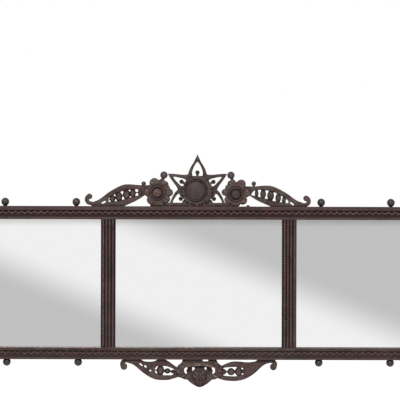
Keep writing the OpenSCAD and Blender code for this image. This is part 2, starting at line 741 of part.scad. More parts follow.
// A bar along a petal's axis between two distances from the star's middle
module stamen_bar(angle, from, to, r) {
    translate([0, -crest_back - crest_t - hub_t / 2, hub_rise]) rotate([0, 90 - angle, 0])
        translate([0, 0, from]) cylinder(r = r, h = to - from);
}

module crest_boss() {
    face = crest_back + crest_t + hub_t;
    dome = (boss_r * boss_r + boss_rise * boss_rise) / 2 / boss_rise;
    color(ball_wood) crest_place() translate(boss_at(face)) rotate([90, 0, 0]) {
        intersection() {
            translate([0, 0, boss_rise - dome]) sphere(dome, $fn = 96);
            cylinder(r = boss_r, h = boss_rise + cut);
        }
        translate([0, 0, -hub_t - crest_t / 2]) cylinder(r = hub_peg_r, h = hub_t + crest_t / 2 + cut);
    }
}

module crest_stamens() {
    color(wood) crest_place() for (a = STAMEN_ANGLES) {
        stamen_bar(a, hub_r - stalk_in, stamen_at, stalk_r);
        translate([0, -crest_back - crest_t - hub_t / 2, hub_rise]) rotate([0, 90 - a, 0])
            translate([0, 0, stamen_at]) sphere(stamen_d / 2);
    }
}

// A lobed rosette drawn on the right, grown by a clearance where it cuts its neighbours
module rosette_outline(side, grow = 0) {
    foot = side == LEFT ? left_rosette_foot : right_rosette_foot;
    above(0) translate([rosette_at, 0]) {
        translate([0, rosette_rise]) {
            circle(rosette_core * rosette_r + grow);
            for (lobe = side == LEFT ? LEFT_LOBES : RIGHT_LOBES) rotate(lobe[0])
                translate([(lobe[1] - lobe[2]) * rosette_r, 0]) circle(lobe[2] * rosette_r + grow);
        }
        translate([-foot_back - grow, 0]) square([foot_back + foot + 2 * grow, rosette_foot_h]);
    }
}

// The middles of a rosette's ring and dome at a distance in front of the wall
function ring_at(side, front) =
    let (shift = side == LEFT ? left_ring_shift : right_ring_shift)
    [rosette_at + shift.x, -front, rosette_rise + shift.y];
function dome_at(side, front) = ring_at(side, front) + [side == LEFT ? left_dome_shift : 0, 0, 0];

module rosette(side) {
    color(worn_wood) crest_place() on_side(side) difference() {
        union() {
            stand(crest_back, crest_t) rosette_outline(side);
            translate(ring_at(side, crest_back + crest_t)) rotate([90, 0, 0])
                rotate_extrude() translate([ring_r, 0]) circle(3);
        }
        rod_back(dome_at(side, crest_back + crest_t + cut), dome_peg_r + glue_gap, crest_t / 2 + cut + 0.5);
        crown_place() peg([0, 0, -11.5], ball_peg_d / 2 - 1 + glue_gap, 12 + cut);
        peg([rosette_at, crest_dowel_y, -cut], dowel_d / 2 + glue_gap, dowel_in_carving + cut + 0.5);
    }
}

// The seat of a rosette's crown ball, on its topmost lobe, with Z outwards
module crown_place() {
    translate([rosette_at, crest_dowel_y, rosette_rise]) rotate([0, 90 - crown_angle, 0])
        translate([0, 0, rosette_r]) children();
}

module rosette_dome(side) {
    rise = 6;
    ball = (dome_r * dome_r + rise * rise) / 2 / rise;
    color(dark_wood) crest_place() on_side(side)
        translate(dome_at(side, crest_back + crest_t)) rotate([90, 0, 0]) {
            intersection() {
                translate([0, 0, rise - ball]) sphere(ball, $fn = 96);
                cylinder(r = dome_r, h = rise + cut);
            }
            translate([0, 0, -crest_t / 2]) cylinder(r = dome_peg_r, h = crest_t / 2 + cut);
        }
}

module rosette_ball(side) {
    peg_r = ball_peg_d / 2 - 1;
    color(ball_wood) crest_place() on_side(side) crown_place() {
        peg([0, 0, -11], peg_r, 11 + crown_ball_d / 2);
        peg([0, 0, carving_gap], peg_r + 1.5, 3);
        translate([0, 0, crown_gap + crown_ball_d / 2]) sphere(crown_ball_d / 2);
    }
}

module left_rosette() { rosette(LEFT); }
module right_rosette() { rosette(RIGHT); }
module left_rosette_dome() { rosette_dome(LEFT); }
module right_rosette_dome() { rosette_dome(RIGHT); }
module left_rosette_ball() { rosette_ball(LEFT); }
module right_rosette_ball() { rosette_ball(RIGHT); }

// An oval bead
module bead(w, h) {
    polygon([for (a = [0 : 15 : 345]) [w * cos(a), h * sin(a)]]);
}

// The thin stem along the middle of a window
module stem(win, l, h) {
    polygon(window([for (q = win) [q.x, q.y, stem_half_h / h]], l, h));
}

// A wing to the right: outline, scroll, pierced window with its beads, slot
module crest_wing_outline(side, l, h, curled) {
    left = side == LEFT;
    win = left ? LEFT_WING_WINDOW : RIGHT_WING_WINDOW;
    hole = left ? left_wing_slot : right_wing_slot;
    difference() {
        translate([wing_root, 0]) difference() {
            union() {
                polygon(reversed(concat(smooth(scaled(WING_TOP, l, h)), [[0.88 * l, -cut]],
                                        smooth(scaled(WING_UNDER, l, h)))));
                translate([wing_curl_at * l, 0]) curl(wing_curl_r, wing_curl_end, curled[0]);
                translate([wing_ball_at * l, curled[1]]) circle(scroll_ball_r);
            }
            difference() {
                polygon(window(win, l, h));
                if (left) stem(win, l, h);
                for (b = left ? LEFT_WING_BEADS : RIGHT_WING_BEADS)
                    translate([b.x * l, middle_at(win, b.x) * h]) bead(b.y, half_at(win, b.x) * h + bead_bite);
            }
            translate([hole.x * l, hole.y * h]) rotate(hole[2]) slot(wing_slot_r, wing_slot_l);
        }
        rosette_outline(side, carving_gap);
        translate([0, -h]) square([2 * wing_root + l, h]);
    }
}

// The curl of a scroll: a tail off the rail, then a ring turned up as far as the angle
module curl(r, end, lift = 0) {
    far = 3 * r;
    low = lift - cut / 2;
    polygon([[-2 * scroll_w, -cut], [-0.6 * scroll_w, -cut], [0.5, low], [0.5, low + scroll_w],
             [-2 * scroll_w, 0.7 * scroll_w]]);
    translate([0, r + low]) difference() {
        circle(r);
        circle(r - scroll_w);
        polygon([[0, 0], far * [cos(end), sin(end)], [-far, far], [-far, -far], [0, -far]]);
    }
}

module slot(r, l) {
    square([2 * r, l - 2 * r], center = true);
    for (up = [-1, 1]) translate([0, up * (l / 2 - r)]) circle(r);
}

// The foot of a pearl's neck, on the wing's upper edge
function pearl_foot(side) =
    let (p = side == LEFT ? left_pearl_at : right_pearl_at)
    [wing_root + p.x, crest_dowel_y, p.y];

module crest_wing(side, l, h, curled) {
    color(wood) crest_place() on_side(side) difference() {
        stand(crest_back, crest_t) crest_wing_outline(side, l, h, curled);
        peg([crest_dowel_at[2], crest_dowel_y, -cut], dowel_d / 2 + glue_gap, dowel_in_carving + cut + 0.5);
        peg(pearl_foot(side) - [0, 0, pearl_stalk_in], stalk_r + glue_gap, pearl_stalk_in + pearl_d);
        translate(pearl_foot(side) + [0, 0, pearl_rise]) sphere(pearl_d / 2 + glue_gap);
    }
}

module wing_pearl(side) {
    color(ball_wood) crest_place() on_side(side) translate(pearl_foot(side)) {
        peg([0, 0, 0.5 - pearl_stalk_in], stalk_r, pearl_stalk_in + pearl_rise);
        translate([0, 0, pearl_rise]) sphere(pearl_d / 2);
    }
}

module left_crest_wing() { crest_wing(LEFT, left_wing_l, left_wing_h, left_curl); }
module right_crest_wing() { crest_wing(RIGHT, right_wing_l, right_wing_h, right_curl); }
module left_wing_pearl() { wing_pearl(LEFT); }
module right_wing_pearl() { wing_pearl(RIGHT); }

// Both dowels at one distance from the crest's middle, or their holes with a gap
module crest_dowels_at(x, gap = 0) {
    for (side = SIDES)
        peg([crest_x + side * x, crest_dowel_y, rail_top - dowel_in_rail], dowel_d / 2 + gap,
            dowel_in_rail + dowel_in_carving + (gap > 0 ? 0.5 : 0));
}

module crest_dowels() {
    color(pale_pine) for (x = crest_dowel_at) crest_dowels_at(x);
}

// --- Apron ------------------------------------------------------------------

// The flower outline grown sideways by a clearance where it cuts the wings
module flower_outline(grow = 0) {
    edge = smooth([for (e = FLOWER_EDGE) [e.x * flower_half_w + grow, -e.y * flower_drop]]);
    polygon(with_mirror(edge));
}

module flower_pierced() {
    difference() {
        flower_outline();
        for (side = SIDES) flat_on_side(side) difference() {
            polygon(closed_smooth(scaled(FLOWER_EYE, flower_half_w, -flower_drop)));
            translate([flower_eye_ball.x * flower_half_w, -flower_eye_ball.y * flower_drop]) {
                circle(flower_ball_r);
                translate([-flower_neck, 0]) square([2 * flower_neck, 2 * flower_ball_r]);
            }
        }
        translate([relief_x[0], -relief_h]) square([relief_x[1] - relief_x[0], relief_h + cut]);
    }
}

function closed_smooth(p, n = 5) =
    let (m = len(p))
    [for (i = [0 : m - 1]) for (k = [0 : n - 1])
        blend(p[(i + m - 1) % m], p[i], p[(i + 1) % m], p[(i + 2) % m], k / n)];

module apron_flower() {
    color(wood) difference() {
        apron_place() stand(apron_back, apron_t) flower_pierced();
        apron_dowels_at(apron_dowel_at[0], glue_gap);
    }
}

module apron_bud() {
    color(dark_wood) apron_place() stand(apron_back + apron_t, bud_t)
        polygon(with_mirror(smooth(scaled(BUD_EDGE, flower_half_w, -flower_drop))));
}

module apron_wing_outline(side, l, drop) {
    left = side == LEFT;
    top = left ? LEFT_APRON_TOP : RIGHT_APRON_TOP;
    under = left ? LEFT_APRON_UNDER : RIGHT_APRON_UNDER;
    win = left ? LEFT_APRON_WINDOW : RIGHT_APRON_WINDOW;
    difference() {
        mirror([0, 1]) translate([apron_root, 0]) difference() {
            union() {
                polygon(concat(smooth(scaled(top, l, drop)), [[0.88 * l, -cut]], smooth(scaled(under, l, drop))));
                translate([apron_curl_at * l, 0]) curl(apron_curl_r, apron_curl_end);
                translate([apron_ball_at.x * l, apron_ball_at.y]) circle(apron_ball_r);
            }
            difference() {
                polygon(window(win, l, drop));
                stem(win, l, drop);
                for (b = left ? LEFT_APRON_BEADS : RIGHT_APRON_BEADS)
                    translate([b.x * l, middle_at(win, b.x) * drop]) bead(b.y, b[2]);
            }
            if (left) for (s = LEFT_APRON_SLOTS)
                translate([s.x * l, s.y * drop]) rotate(s[4]) slot(s[2], s[3]);
        }
        flower_outline(carving_gap);
        square([3 * l, drop]);
    }
}

module apron_wing(side, l, drop) {
    color(wood) difference() {
        apron_place() on_side(side) stand(apron_back, apron_t) apron_wing_outline(side, l, drop);
        apron_dowels_at(apron_dowel_at[1], glue_gap);
    }
}

module left_apron_wing() { apron_wing(LEFT, left_apron_wing_l, left_apron_wing_drop); }
module right_apron_wing() { apron_wing(RIGHT, right_apron_wing_l, right_apron_wing_drop); }

// Both dowels at one distance from the apron's middle, or their holes with a gap
module apron_dowels_at(x, gap = 0) {
    depth = dowel_in_carving + (gap > 0 ? 0.5 : 0);
    for (side = SIDES)
        peg([apron_x + side * x, apron_dowel_y, rail_bottom - depth], dowel_d / 2 + gap, depth + dowel_in_rail);
}

module apron_dowels() {
    color(pale_pine) for (x = apron_dowel_at) apron_dowels_at(x);
}

// --- Hangers ----------------------------------------------------------------

// Side view of the strap: flat against the wood, rolled into an eye at its top
module strap_section() {
    difference() {
        union() {
            translate([0, -strap_l]) square([strap_t, strap_l]);
            translate([eye_y, 0]) circle(eye_r);
            translate([0, -eye_r]) square([eye_y, eye_r]);
        }
        translate([eye_y, 0]) circle(wire_r + eye_gap);
    }
}

module hanger_strap(side) {
    color(brass) on_side(side) translate([hanger_x, 0, hanger_z]) difference() {
        translate([-strap_w / 2, 0, 0]) rotate([90, 0, 90]) linear_extrude(strap_w) strap_section();
        for (drop = screw_drops) rod_back([0, -cut, -drop], screw_r + 0.2, strap_t + 2 * cut);
        for (s = SIDES) translate([s * strap_w / 2, -cut, -strap_l]) rotate([-90, 0, 0])
            linear_extrude(strap_t + 2 * cut) mirror([s > 0 ? 1 : 0, 0]) mirror([0, 1]) corner_waste(4);
    }
}

// A ring of round wire hanging from its bar, which turns in the eye
module hanger_ring(side) {
    color(brass) on_side(side) translate([hanger_x, eye_y, hanger_z]) {
        translate([-ring_half, 0, 0]) rotate([0, 90, 0]) cylinder(r = wire_r, h = 2 * ring_half);
        for (s = SIDES) {
            translate([s * ring_half, 0, 0]) sphere(wire_r);
            peg([s * ring_half, 0, -ring_side], wire_r, ring_side);
        }
        translate([0, 0, -ring_side]) rotate([90, 0, 0]) rotate([0, 0, 180])
            rotate_extrude(angle = 180) translate([ring_half, 0]) circle(wire_r);
    }
}

module hanger_screws() {
    color(steel) for (side = SIDES) for (drop = screw_drops)
        on_side(side) translate([hanger_x, 0, hanger_z - drop]) {
            rod_back([0, -screw_l, 0], screw_r, screw_l + strap_t + cut);
            rod_back([0, strap_t, 0], head_r, head_h);
        }
}

module left_hanger_strap() { hanger_strap(LEFT); }
module right_hanger_strap() { hanger_strap(RIGHT); }
module left_hanger_ring() { hanger_ring(LEFT); }
module right_hanger_ring() { hanger_ring(RIGHT); }

top_rail();
bottom_rail();
left_stile();
right_stile();
left_mullion();
right_mullion();
top_waved_slip();
bottom_waved_slip();
left_mirror_glass();
centre_mirror_glass();
right_mirror_glass();
left_backboard();
centre_backboard();
right_backboard();
backboard_sprigs();
top_ball_far_left();
top_ball_left();
top_ball_right();
top_ball_far_right();
bottom_ball_far_left();
bottom_ball_left();
bottom_ball_right();
bottom_ball_far_right();
lost_ball_stub();
crest_star();
crest_hub();
crest_boss();
crest_stamens();
left_rosette();
right_rosette();
left_rosette_dome();
right_rosette_dome();
left_rosette_ball();
right_rosette_ball();
left_crest_wing();
right_crest_wing();
left_wing_pearl();
right_wing_pearl();
crest_dowels();
apron_flower();
apron_bud();
left_apron_wing();
right_apron_wing();
apron_dowels();
left_hanger_strap();
right_hanger_strap();
left_hanger_ring();
right_hanger_ring();
hanger_screws();
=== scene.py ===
"""Looks of the three-pane overmantel mirror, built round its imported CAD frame.

Lengths are in metres. The front faces -Y, the wall is the plane y = 0, and the origin is the
middle of the bottom rail's back face.
"""

from __future__ import annotations

import logging
import math
from contextlib import contextmanager
from dataclasses import dataclass, field, replace
from enum import Enum
from typing import Iterator, Optional, Sequence, Union

import bpy
import numpy as np
from mathutils import Matrix, Vector
from mathutils.kdtree import KDTree

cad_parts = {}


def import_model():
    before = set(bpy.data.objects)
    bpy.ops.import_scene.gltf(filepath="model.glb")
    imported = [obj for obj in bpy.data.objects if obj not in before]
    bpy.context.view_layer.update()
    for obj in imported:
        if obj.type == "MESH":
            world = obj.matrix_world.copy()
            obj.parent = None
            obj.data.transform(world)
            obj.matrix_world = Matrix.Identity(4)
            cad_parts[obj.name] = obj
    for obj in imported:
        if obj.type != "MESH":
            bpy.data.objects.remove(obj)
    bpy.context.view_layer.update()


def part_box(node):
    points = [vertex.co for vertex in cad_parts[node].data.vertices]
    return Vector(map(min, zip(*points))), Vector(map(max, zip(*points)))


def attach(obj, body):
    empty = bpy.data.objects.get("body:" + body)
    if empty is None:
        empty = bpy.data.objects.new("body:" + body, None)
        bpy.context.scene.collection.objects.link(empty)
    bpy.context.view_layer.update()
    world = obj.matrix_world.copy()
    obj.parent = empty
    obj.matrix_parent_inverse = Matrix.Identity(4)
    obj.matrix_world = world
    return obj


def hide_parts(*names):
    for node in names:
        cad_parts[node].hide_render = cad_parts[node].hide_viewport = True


LOG = logging.getLogger("overmantel")
MM = 0.001
FORWARD = Vector((0, -1, 0))
# How close a point lies to the plane that picks it.
NEAR = 0.8 * MM
# Levels of the relief: below SUNK the finish darkens a place with dirt and painted shade, and above
# PROUD it lightens it with wear and painted highlight. A board's sides and back are at SIDE and a
# plain face is at FLAT, which take neither.
SUNK = 0.42
SIDE = 0.5
FLAT = 0.6
PROUD = 0.62

Pair = tuple[float, float]
Triple = tuple[float, float, float]
Colour = Triple
# A bead's middle across and up, and half its width and height.
Bead = tuple[float, float, float, float]
Socket = Union[bpy.types.NodeSocket, float, tuple]


# --- Working by hand --------------------------------------------------------


class Side(Enum):
    """The side of the mirror that a piece stands on, seen from the front."""

    LEFT = -1
    RIGHT = 1

    @property
    def word(self) -> str:
        """The side's name in the CAD nodes."""
        return self.name.lower()


def rgb(red: int, green: int, blue: int) -> Colour:
    """Turns a colour of 0 to 255 a channel, as it shows on a screen, into linear light."""
    return tuple(c / 255 / 12.92 if c <= 10 else ((c / 255 + 0.055) / 1.055) ** 2.4
                 for c in (red, green, blue))


def pick(obj: bpy.types.Object) -> bpy.types.Object:
    """Makes one object the only one that is selected.

    Args:
        obj: The object to work on.

    Returns:
        The same object.
    """
    bpy.ops.object.select_all(action="DESELECT")
    obj.select_set(True)
    bpy.context.view_layer.objects.active = obj
    return obj


@contextmanager
def editing(obj: bpy.types.Object, select: str = "DESELECT") -> Iterator[bpy.types.Object]:
    """Opens an object in edit mode for as long as the block runs.

    Args:
        obj: The object to edit.
        select: SELECT or DESELECT, for all of its mesh.

    Yields:
        The object.
    """
    pick(obj)
    bpy.ops.object.mode_set(mode="EDIT")
    bpy.ops.mesh.select_all(action=select)
    try:
        yield obj
    finally:
        bpy.ops.object.mode_set(mode="OBJECT")


def points_of(mesh: bpy.types.Mesh) -> np.ndarray:
    """Reads the mesh's points.

    Args:
        mesh: The mesh.

    Returns:
        Rows of x, y and z, one to a point.
    """
    co = np.empty(len(mesh.vertices) * 3)
    mesh.vertices.foreach_get("co", co)
    return co.reshape(-1, 3)


def put_points(mesh: bpy.types.Mesh, co: np.ndarray) -> None:
    """Moves the mesh's points to rows of x, y and z, one to a point."""
    mesh.vertices.foreach_set("co", np.ascontiguousarray(co, dtype=np.float64).ravel())
    mesh.update()


def apply(obj: bpy.types.Object, kind: str, **settings: object) -> None:
    """Adds a modifier and applies it.

    Args:
        obj: The object to change.
        kind: The modifier's type.
        **settings: The modifier's own settings.
    """
    pick(obj)
    mod = obj.modifiers.new(kind.title(), kind)
    for key, value in settings.items():
        setattr(mod, key, value)
    bpy.ops.object.modifier_apply(modifier=mod.name)


def smooth(obj: bpy.types.Object, degrees: float = 35) -> None:
    """Shades an object smooth, except over edges sharper than the angle."""
    pick(obj)
    bpy.ops.object.shade_smooth_by_angle(angle=math.radians(degrees))


def close_up(obj: bpy.types.Object) -> None:
    """Merges doubled points and turns every face outwards.

    Args:
        obj: The object to change.
    """
    with editing(obj, "SELECT"):
        bpy.ops.mesh.remove_doubles(threshold=2e-6)
        bpy.ops.mesh.normals_make_consistent(inside=False)


def joined(name: str, parts: Sequence[bpy.types.Object]) -> bpy.types.Object:
    """Joins several objects into one piece.

    Args:
        name: The piece's name.
        parts: The objects, which are used up.

    Returns:
        The piece.
    """
    pick(parts[0])
    for part in parts[1:]:
        part.select_set(True)
    bpy.ops.object.join()
    parts[0].name = parts[0].data.name = name
    return parts[0]


def copied(obj: bpy.types.Object, name: str, place: Matrix) -> bpy.types.Object:
    """Copies a model with a mesh of its own and puts it in its place.

    Args:
        obj: The model.
        name: The copy's name.
        place: Where the model's own origin and axes go.

    Returns:
        The copy.
    """
    new = obj.copy()
    new.data = obj.data.copy()
    new.name = new.data.name = name
    bpy.context.scene.collection.objects.link(new)
    new.data.transform(place)
    return new


def frame_at(where: Vector, up: Vector) -> Matrix:
    """Gives the place of a model whose origin lies at where and whose Z axis points along up."""
    return Matrix.Translation(where) @ up.to_track_quat("Z", "Y").to_matrix().to_4x4()


def node_copy(node: str, name: str) -> bpy.types.Object:
    """Copies a CAD node's mesh and merges its loose triangles.

    Args:
        node: The CAD node.
        name: The copy's name.

    Returns:
        The copy, which rides on nothing yet.
    """
    new = bpy.data.objects.new(name, bpy.data.objects[node].data.copy())
    new.data.name = name
    new.data.materials.clear()
    bpy.context.scene.collection.objects.link(new)
    with editing(new, "SELECT"):
        bpy.ops.mesh.remove_doubles(threshold=1e-6)
        bpy.ops.mesh.customdata_custom_splitnormals_clear()
    return new


def softened(node: str, name: str, width: float = 0.5 * MM, angle: float = 40) -> bpy.types.Object:
    """Copies a CAD node and takes the sharpness off its edges.

    Args:
        node: The CAD node.
        name: The copy's name.
        width: The width of the softened edges.
        angle: Edges sharper than this many degrees are softened.

    Returns:
        The copy.
    """
    new = node_copy(node, name)
    with editing(new, "SELECT"):
        bpy.ops.mesh.dissolve_limited(angle_limit=math.radians(0.6))
    apply(new, "BEVEL", width=width, segments=2, limit_method="ANGLE",
          angle_limit=math.radians(angle), use_clamp_overlap=True, harden_normals=False)
    put_points(new.data, np.clip(points_of(new.data), *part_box(node)))
    smooth(new, 32)
    return new


def mark_relief(obj: bpy.types.Object, level: np.ndarray) -> None:
    """Notes how high each point of a piece stands, from 0 to 1, for its finish to darken low places with dirt
    and painted shade and lighten high places with wear and painted highlight.
    """
    mark = obj.data.attributes.new("relief", "FLOAT", "POINT")
    mark.data.foreach_set("value", level.astype(np.float32))


def mark_floor(obj: bpy.types.Object, face: float, depth: float, levels: Sequence[Pair]) -> None:
    """Marks the floor of a channel or of a reeded ground as low, so that its finish paints shade on it.

    Args:
        obj: The piece.
        face: The place of its face along Y.
        depth: How deep the floor lies under the face.
        levels: Places along X and the floor's level at each; the lower the level, the darker the painted
            shade.
    """
    co = points_of(obj.data)
    low = np.interp(co[:, 0], *zip(*levels))
    inside = np.abs(co[:, 1] - face - depth) < NEAR
    mark_relief(obj, np.where(inside, low, FLAT))


def turned(name: str, profile: Sequence[Pair], steps: int = 40) -> bpy.types.Object:
    """Turns a piece on the lathe about the Z axis.

    Args:
        name: The piece's name.
        profile: Radius and height along the piece, from end to end.
        steps: Facets round the piece.

    Returns:
        The turned piece, standing at the origin.
    """
    count = len(profile)
    bpy.ops.object.select_all(action="DESELECT")
    bpy.ops.mesh.primitive_circle_add(vertices=count, radius=0.01, fill_type="NOTHING")
    obj = bpy.context.object
    obj.name = obj.data.name = name
    put_points(obj.data, np.array([(r, 0.0, z) for r, z in profile]))
    with editing(obj):
        bpy.ops.mesh.select_mode(type="EDGE")
    for edge in obj.data.edges:
        edge.select = abs(edge.vertices[0] - edge.vertices[1]) == count - 1
    bpy.ops.object.mode_set(mode="EDIT")
    bpy.ops.mesh.delete(type="EDGE_FACE")
    bpy.ops.mesh.select_mode(type="VERT")
    bpy.ops.object.mode_set(mode="OBJECT")
    with editing(obj, "SELECT"):
        bpy.ops.mesh.spin(steps=steps, angle=2 * math.pi, center=(0, 0, 0), axis=(0, 0, 1))
    close_up(obj)
    smooth(obj, 38)
    return obj


def arc(radius: float, height: float, start: float, end: float, steps: int) -> list[Pair]:
    """Gives a ball's profile from a start to an end angle, in degrees from straight down."""
    angles = [math.radians(start + (end - start) * i / steps) for i in range(steps + 1)]
    return [(max(radius * math.sin(a), 0.0), height - radius * math.cos(a)) for a in angles]


def egg(name: str, where: Vector, radii: Triple) -> bpy.types.Object:
    """Turns a ball and stretches it.

    Args:
        name: The piece's name.
        where: The place of its middle.
        radii: Its radius on each axis.

    Returns:
        The egg.
    """
    obj = turned(name, arc(1.0, 0.0, 0, 180, 10), 18)
    obj.data.transform(Matrix.Translation(where) @ Matrix.Diagonal((*radii, 1)))
    return obj


def sheet(name: str, across: int, along: int) -> bpy.types.Object:
    """Starts a piece from a flat sheet with a given number of points each way.

    Args:
        name: The piece's name.
        across: Points along the sheet's first side, which change fastest.
        along: Points along its second side.

    Returns:
        The sheet.
    """
    bpy.ops.object.select_all(action="DESELECT")
    bpy.ops.mesh.primitive_grid_add(x_subdivisions=across - 1, y_subdivisions=along - 1, size=1)
    obj = bpy.context.object
    obj.name = obj.data.name = name
    return obj


# --- Finishes ---------------------------------------------------------------


class Bench:
    """A node tree that short calls fill."""

    def __init__(self, tree: bpy.types.NodeTree) -> None:
        """Starts on an emptied tree."""
        self.tree = tree
        tree.nodes.clear()

    def add(self, kind: str, inputs: Optional[dict] = None, **settings: object) -> bpy.types.Node:
        """Adds a node and joins or sets its inputs.

        Args:
            kind: The node's type, without its ShaderNode prefix.
            inputs: A socket or a value for each input's name or number.
            **settings: The node's own settings.

        Returns:
            The node.
        """
        prefix = "" if kind.startswith("NodeGroup") else "ShaderNode"
        node = self.tree.nodes.new(prefix + kind)
        for key, value in settings.items():
            setattr(node, key, value)
        for key, value in (inputs or {}).items():
            if isinstance(value, bpy.types.NodeSocket):
                self.tree.links.new(value, node.inputs[key])
            else:
                node.inputs[key].default_value = value
        return node

    def mix(self, factor: Socket, first: Socket, second: Socket) -> bpy.types.NodeSocket:
        """Mixes two colours.

        Args:
            factor: How much of the second shows.
            first: The first colour.
            second: The second colour.

        Returns:
            The mixed colour.
        """
        first, second = (c if isinstance(c, bpy.types.NodeSocket) else (*c, 1) for c in (first, second))
        node = self.add("Mix", {0: factor, 6: first, 7: second}, data_type="RGBA")
        return node.outputs[2]

    def sum(self, kind: str, first: Socket, second: Socket = 0.0, third: Socket = 0.0,
            clamp: bool = False) -> bpy.types.NodeSocket:
        """Does one step of arithmetic on up to three numbers, and clamps it to 0 to 1 if asked."""
        node = self.add("Math", {0: first, 1: second, 2: third}, operation=kind, use_clamp=clamp)
        return node.outputs[0]

    def spread(self, value: Socket, low: float, high: float, to_low: float = 0.0,
               to_high: float = 1.0) -> bpy.types.NodeSocket:
        """Stretches a range of values over another, with soft ends.

        Args:
            value: The value to stretch.
            low: The value that gives to_low.
            high: The value that gives to_high.
            to_low: The result's lower end.
            to_high: The result's upper end.

        Returns:
            The result.
        """
        node = self.add("MapRange", {"Value": value, "From Min": low, "From Max": high,
                                     "To Min": to_low, "To Max": to_high},
                        interpolation_type="SMOOTHSTEP")
        return node.outputs[0]

    def noise(self, where: Socket, scale: Socket, detail: float = 3.0, rough: float = 0.55,
              bend: float = 0.0) -> bpy.types.NodeSocket:
        """Gives soft random values about 0.5, in so many patches to a metre, pulled about by bend."""
        return self.add("TexNoise", {"Vector": where, "Scale": scale, "Detail": detail,
                                     "Roughness": rough, "Distortion": bend}).outputs["Fac"]

    def along(self, scale: Triple = (1.0, 1.0, 1.0),
              shift: Triple = (0.0, 0.0, 0.0)) -> bpy.types.NodeSocket:
        """Gives object coordinates, stretched and shifted on each axis."""
        coords = self.add("TexCoord").outputs["Object"]
        return self.add("Mapping", {"Vector": coords, "Scale": scale, "Location": shift}).outputs[0]


def new_material(name: str) -> tuple[bpy.types.Material, Bench]:
    """Starts a material with an empty node tree.

    Args:
        name: The material's name.

    Returns:
        The material and the bench on its tree.
    """
    mat = bpy.data.materials.new(name)
    mat.use_nodes = True
    return mat, Bench(mat.node_tree)


class Effect(Enum):
    """A surface effect that several finishes share, by its node group's name."""

    GRAIN = "wood grain"
    PATINA = "handled patina"
    DUST = "settled dust"


def group_tree(effect: Effect, inputs: dict[str, Optional[float]],
               outputs: Sequence[str]) -> tuple[Bench, bpy.types.Node]:
    """Starts a shader node group with its sockets.

    Args:
        effect: Which effect it is for.
        inputs: The number that each input starts from, or None for a place in space.
        outputs: The names of the masks and heights that it puts out.

    Returns:
        The bench on the group and its input node.
    """
    tree = bpy.data.node_groups.new(effect.value, "ShaderNodeTree")
    for name, default in inputs.items():
        kind = "NodeSocketVector" if default is None else "NodeSocketFloat"
        socket = tree.interface.new_socket(name, in_out="INPUT", socket_type=kind)
        if default is not None:
            socket.default_value = default
    for name in outputs:
        tree.interface.new_socket(name, in_out="OUTPUT", socket_type="NodeSocketFloat")
    bench = Bench(tree)
    return bench, bench.add("NodeGroupInput")


def effect_group(effect: Effect) -> bpy.types.NodeTree:
    """Finds an effect's node group, and builds it the first time.

    Args:
        effect: The effect.

    Returns:
        The group's node tree.
    """
    if effect.value not in bpy.data.node_groups:
        {Effect.GRAIN: build_grain, Effect.PATINA: build_patina, Effect.DUST: build_dust}[effect]()
    return bpy.data.node_groups[effect.value]


def build_grain() -> None:
    """Builds the grain group: long streaks, short pores and the height of both."""
    bench, given = group_tree(Effect.GRAIN, {"Vector": None, "Streak Scale": 90, "Pore Scale": 700},
                              ("Streaks", "Pores", "Height"))
    where = given.outputs["Vector"]
    broad = bench.noise(where, given.outputs["Streak Scale"], detail=5, rough=0.62, bend=0.4)
    fine = bench.noise(where, given.outputs["Pore Scale"], detail=2, rough=0.5)
    streaks = bench.spread(broad, 0.33, 0.68)
    pores = bench.spread(fine, 0.30, 0.46)
    height = bench.sum("MULTIPLY_ADD", streaks, 0.5, bench.sum("MULTIPLY", pores, 0.5))
    bench.add("NodeGroupOutput", {"Streaks": streaks, "Pores": pores, "Height": height})


def build_patina() -> None:
    """Builds the patina group: rubbed edges, dirt and painted shade in corners, from ambient occlusion, and
    large patches of tone.
    """
    bench, given = group_tree(Effect.PATINA, {"Vector": None, "Edge Radius": 0.0012, "Patch Scale": 16},
                              ("Rubbed", "Grime", "Patches", "Mottle", "Cool"))
    where = given.outputs["Vector"]
    rounded = bench.add("Bevel", {"Radius": given.outputs["Edge Radius"]}, samples=4)
    flat = bench.add("NewGeometry")
    dot = bench.add("VectorMath", {0: rounded.outputs[0], 1: flat.outputs["Normal"]}, operation="DOT_PRODUCT")
    edge = bench.spread(dot.outputs["Value"], 0.985, 0.86)
    uneven_wear = bench.spread(bench.noise(where, 95, detail=4, rough=0.6), 0.40, 0.62)
    shade = bench.add("AmbientOcclusion", {"Distance": 7 * MM}, samples=8, only_local=False)
    broad = bench.noise(where, given.outputs["Patch Scale"], detail=3, rough=0.55, bend=0.5)
    small = bench.noise(where, 150, detail=3, rough=0.6, bend=0.6)
    shifted = bench.add("VectorMath", {0: where, 1: (3.1, 7.7, 1.9)}, operation="ADD").outputs[0]
    apart = bench.noise(shifted, 24, detail=4, rough=0.6, bend=0.8)
    bench.add("NodeGroupOutput", {
        "Rubbed": bench.sum("MULTIPLY", edge, uneven_wear),
        # Darkens what ambient occlusion finds hollow, as dirt and painted shade.
        "Grime": bench.spread(shade.outputs["AO"], 0.92, 0.35),
        "Patches": bench.spread(broad, 0.36, 0.66),
        "Mottle": bench.spread(small, 0.36, 0.66),
        "Cool": bench.spread(apart, 0.47, 0.66)})


def build_dust() -> None:
    """Builds the dust group: a thin uneven layer on what faces up."""
    bench, given = group_tree(Effect.DUST, {"Vector": None, "Amount": 0.3}, ("Dust",))
    up = bench.add("SeparateXYZ", {0: bench.add("NewGeometry").outputs["Normal"]}).outputs["Z"]
    lying = bench.spread(up, 0.55, 0.95)
    drifts = bench.spread(bench.noise(given.outputs["Vector"], 60, detail=5, rough=0.65), 0.35, 0.7)
    layer = bench.sum("MULTIPLY", bench.sum("MULTIPLY", lying, drifts), given.outputs["Amount"])
    bench.add("NodeGroupOutput", {"Dust": layer})


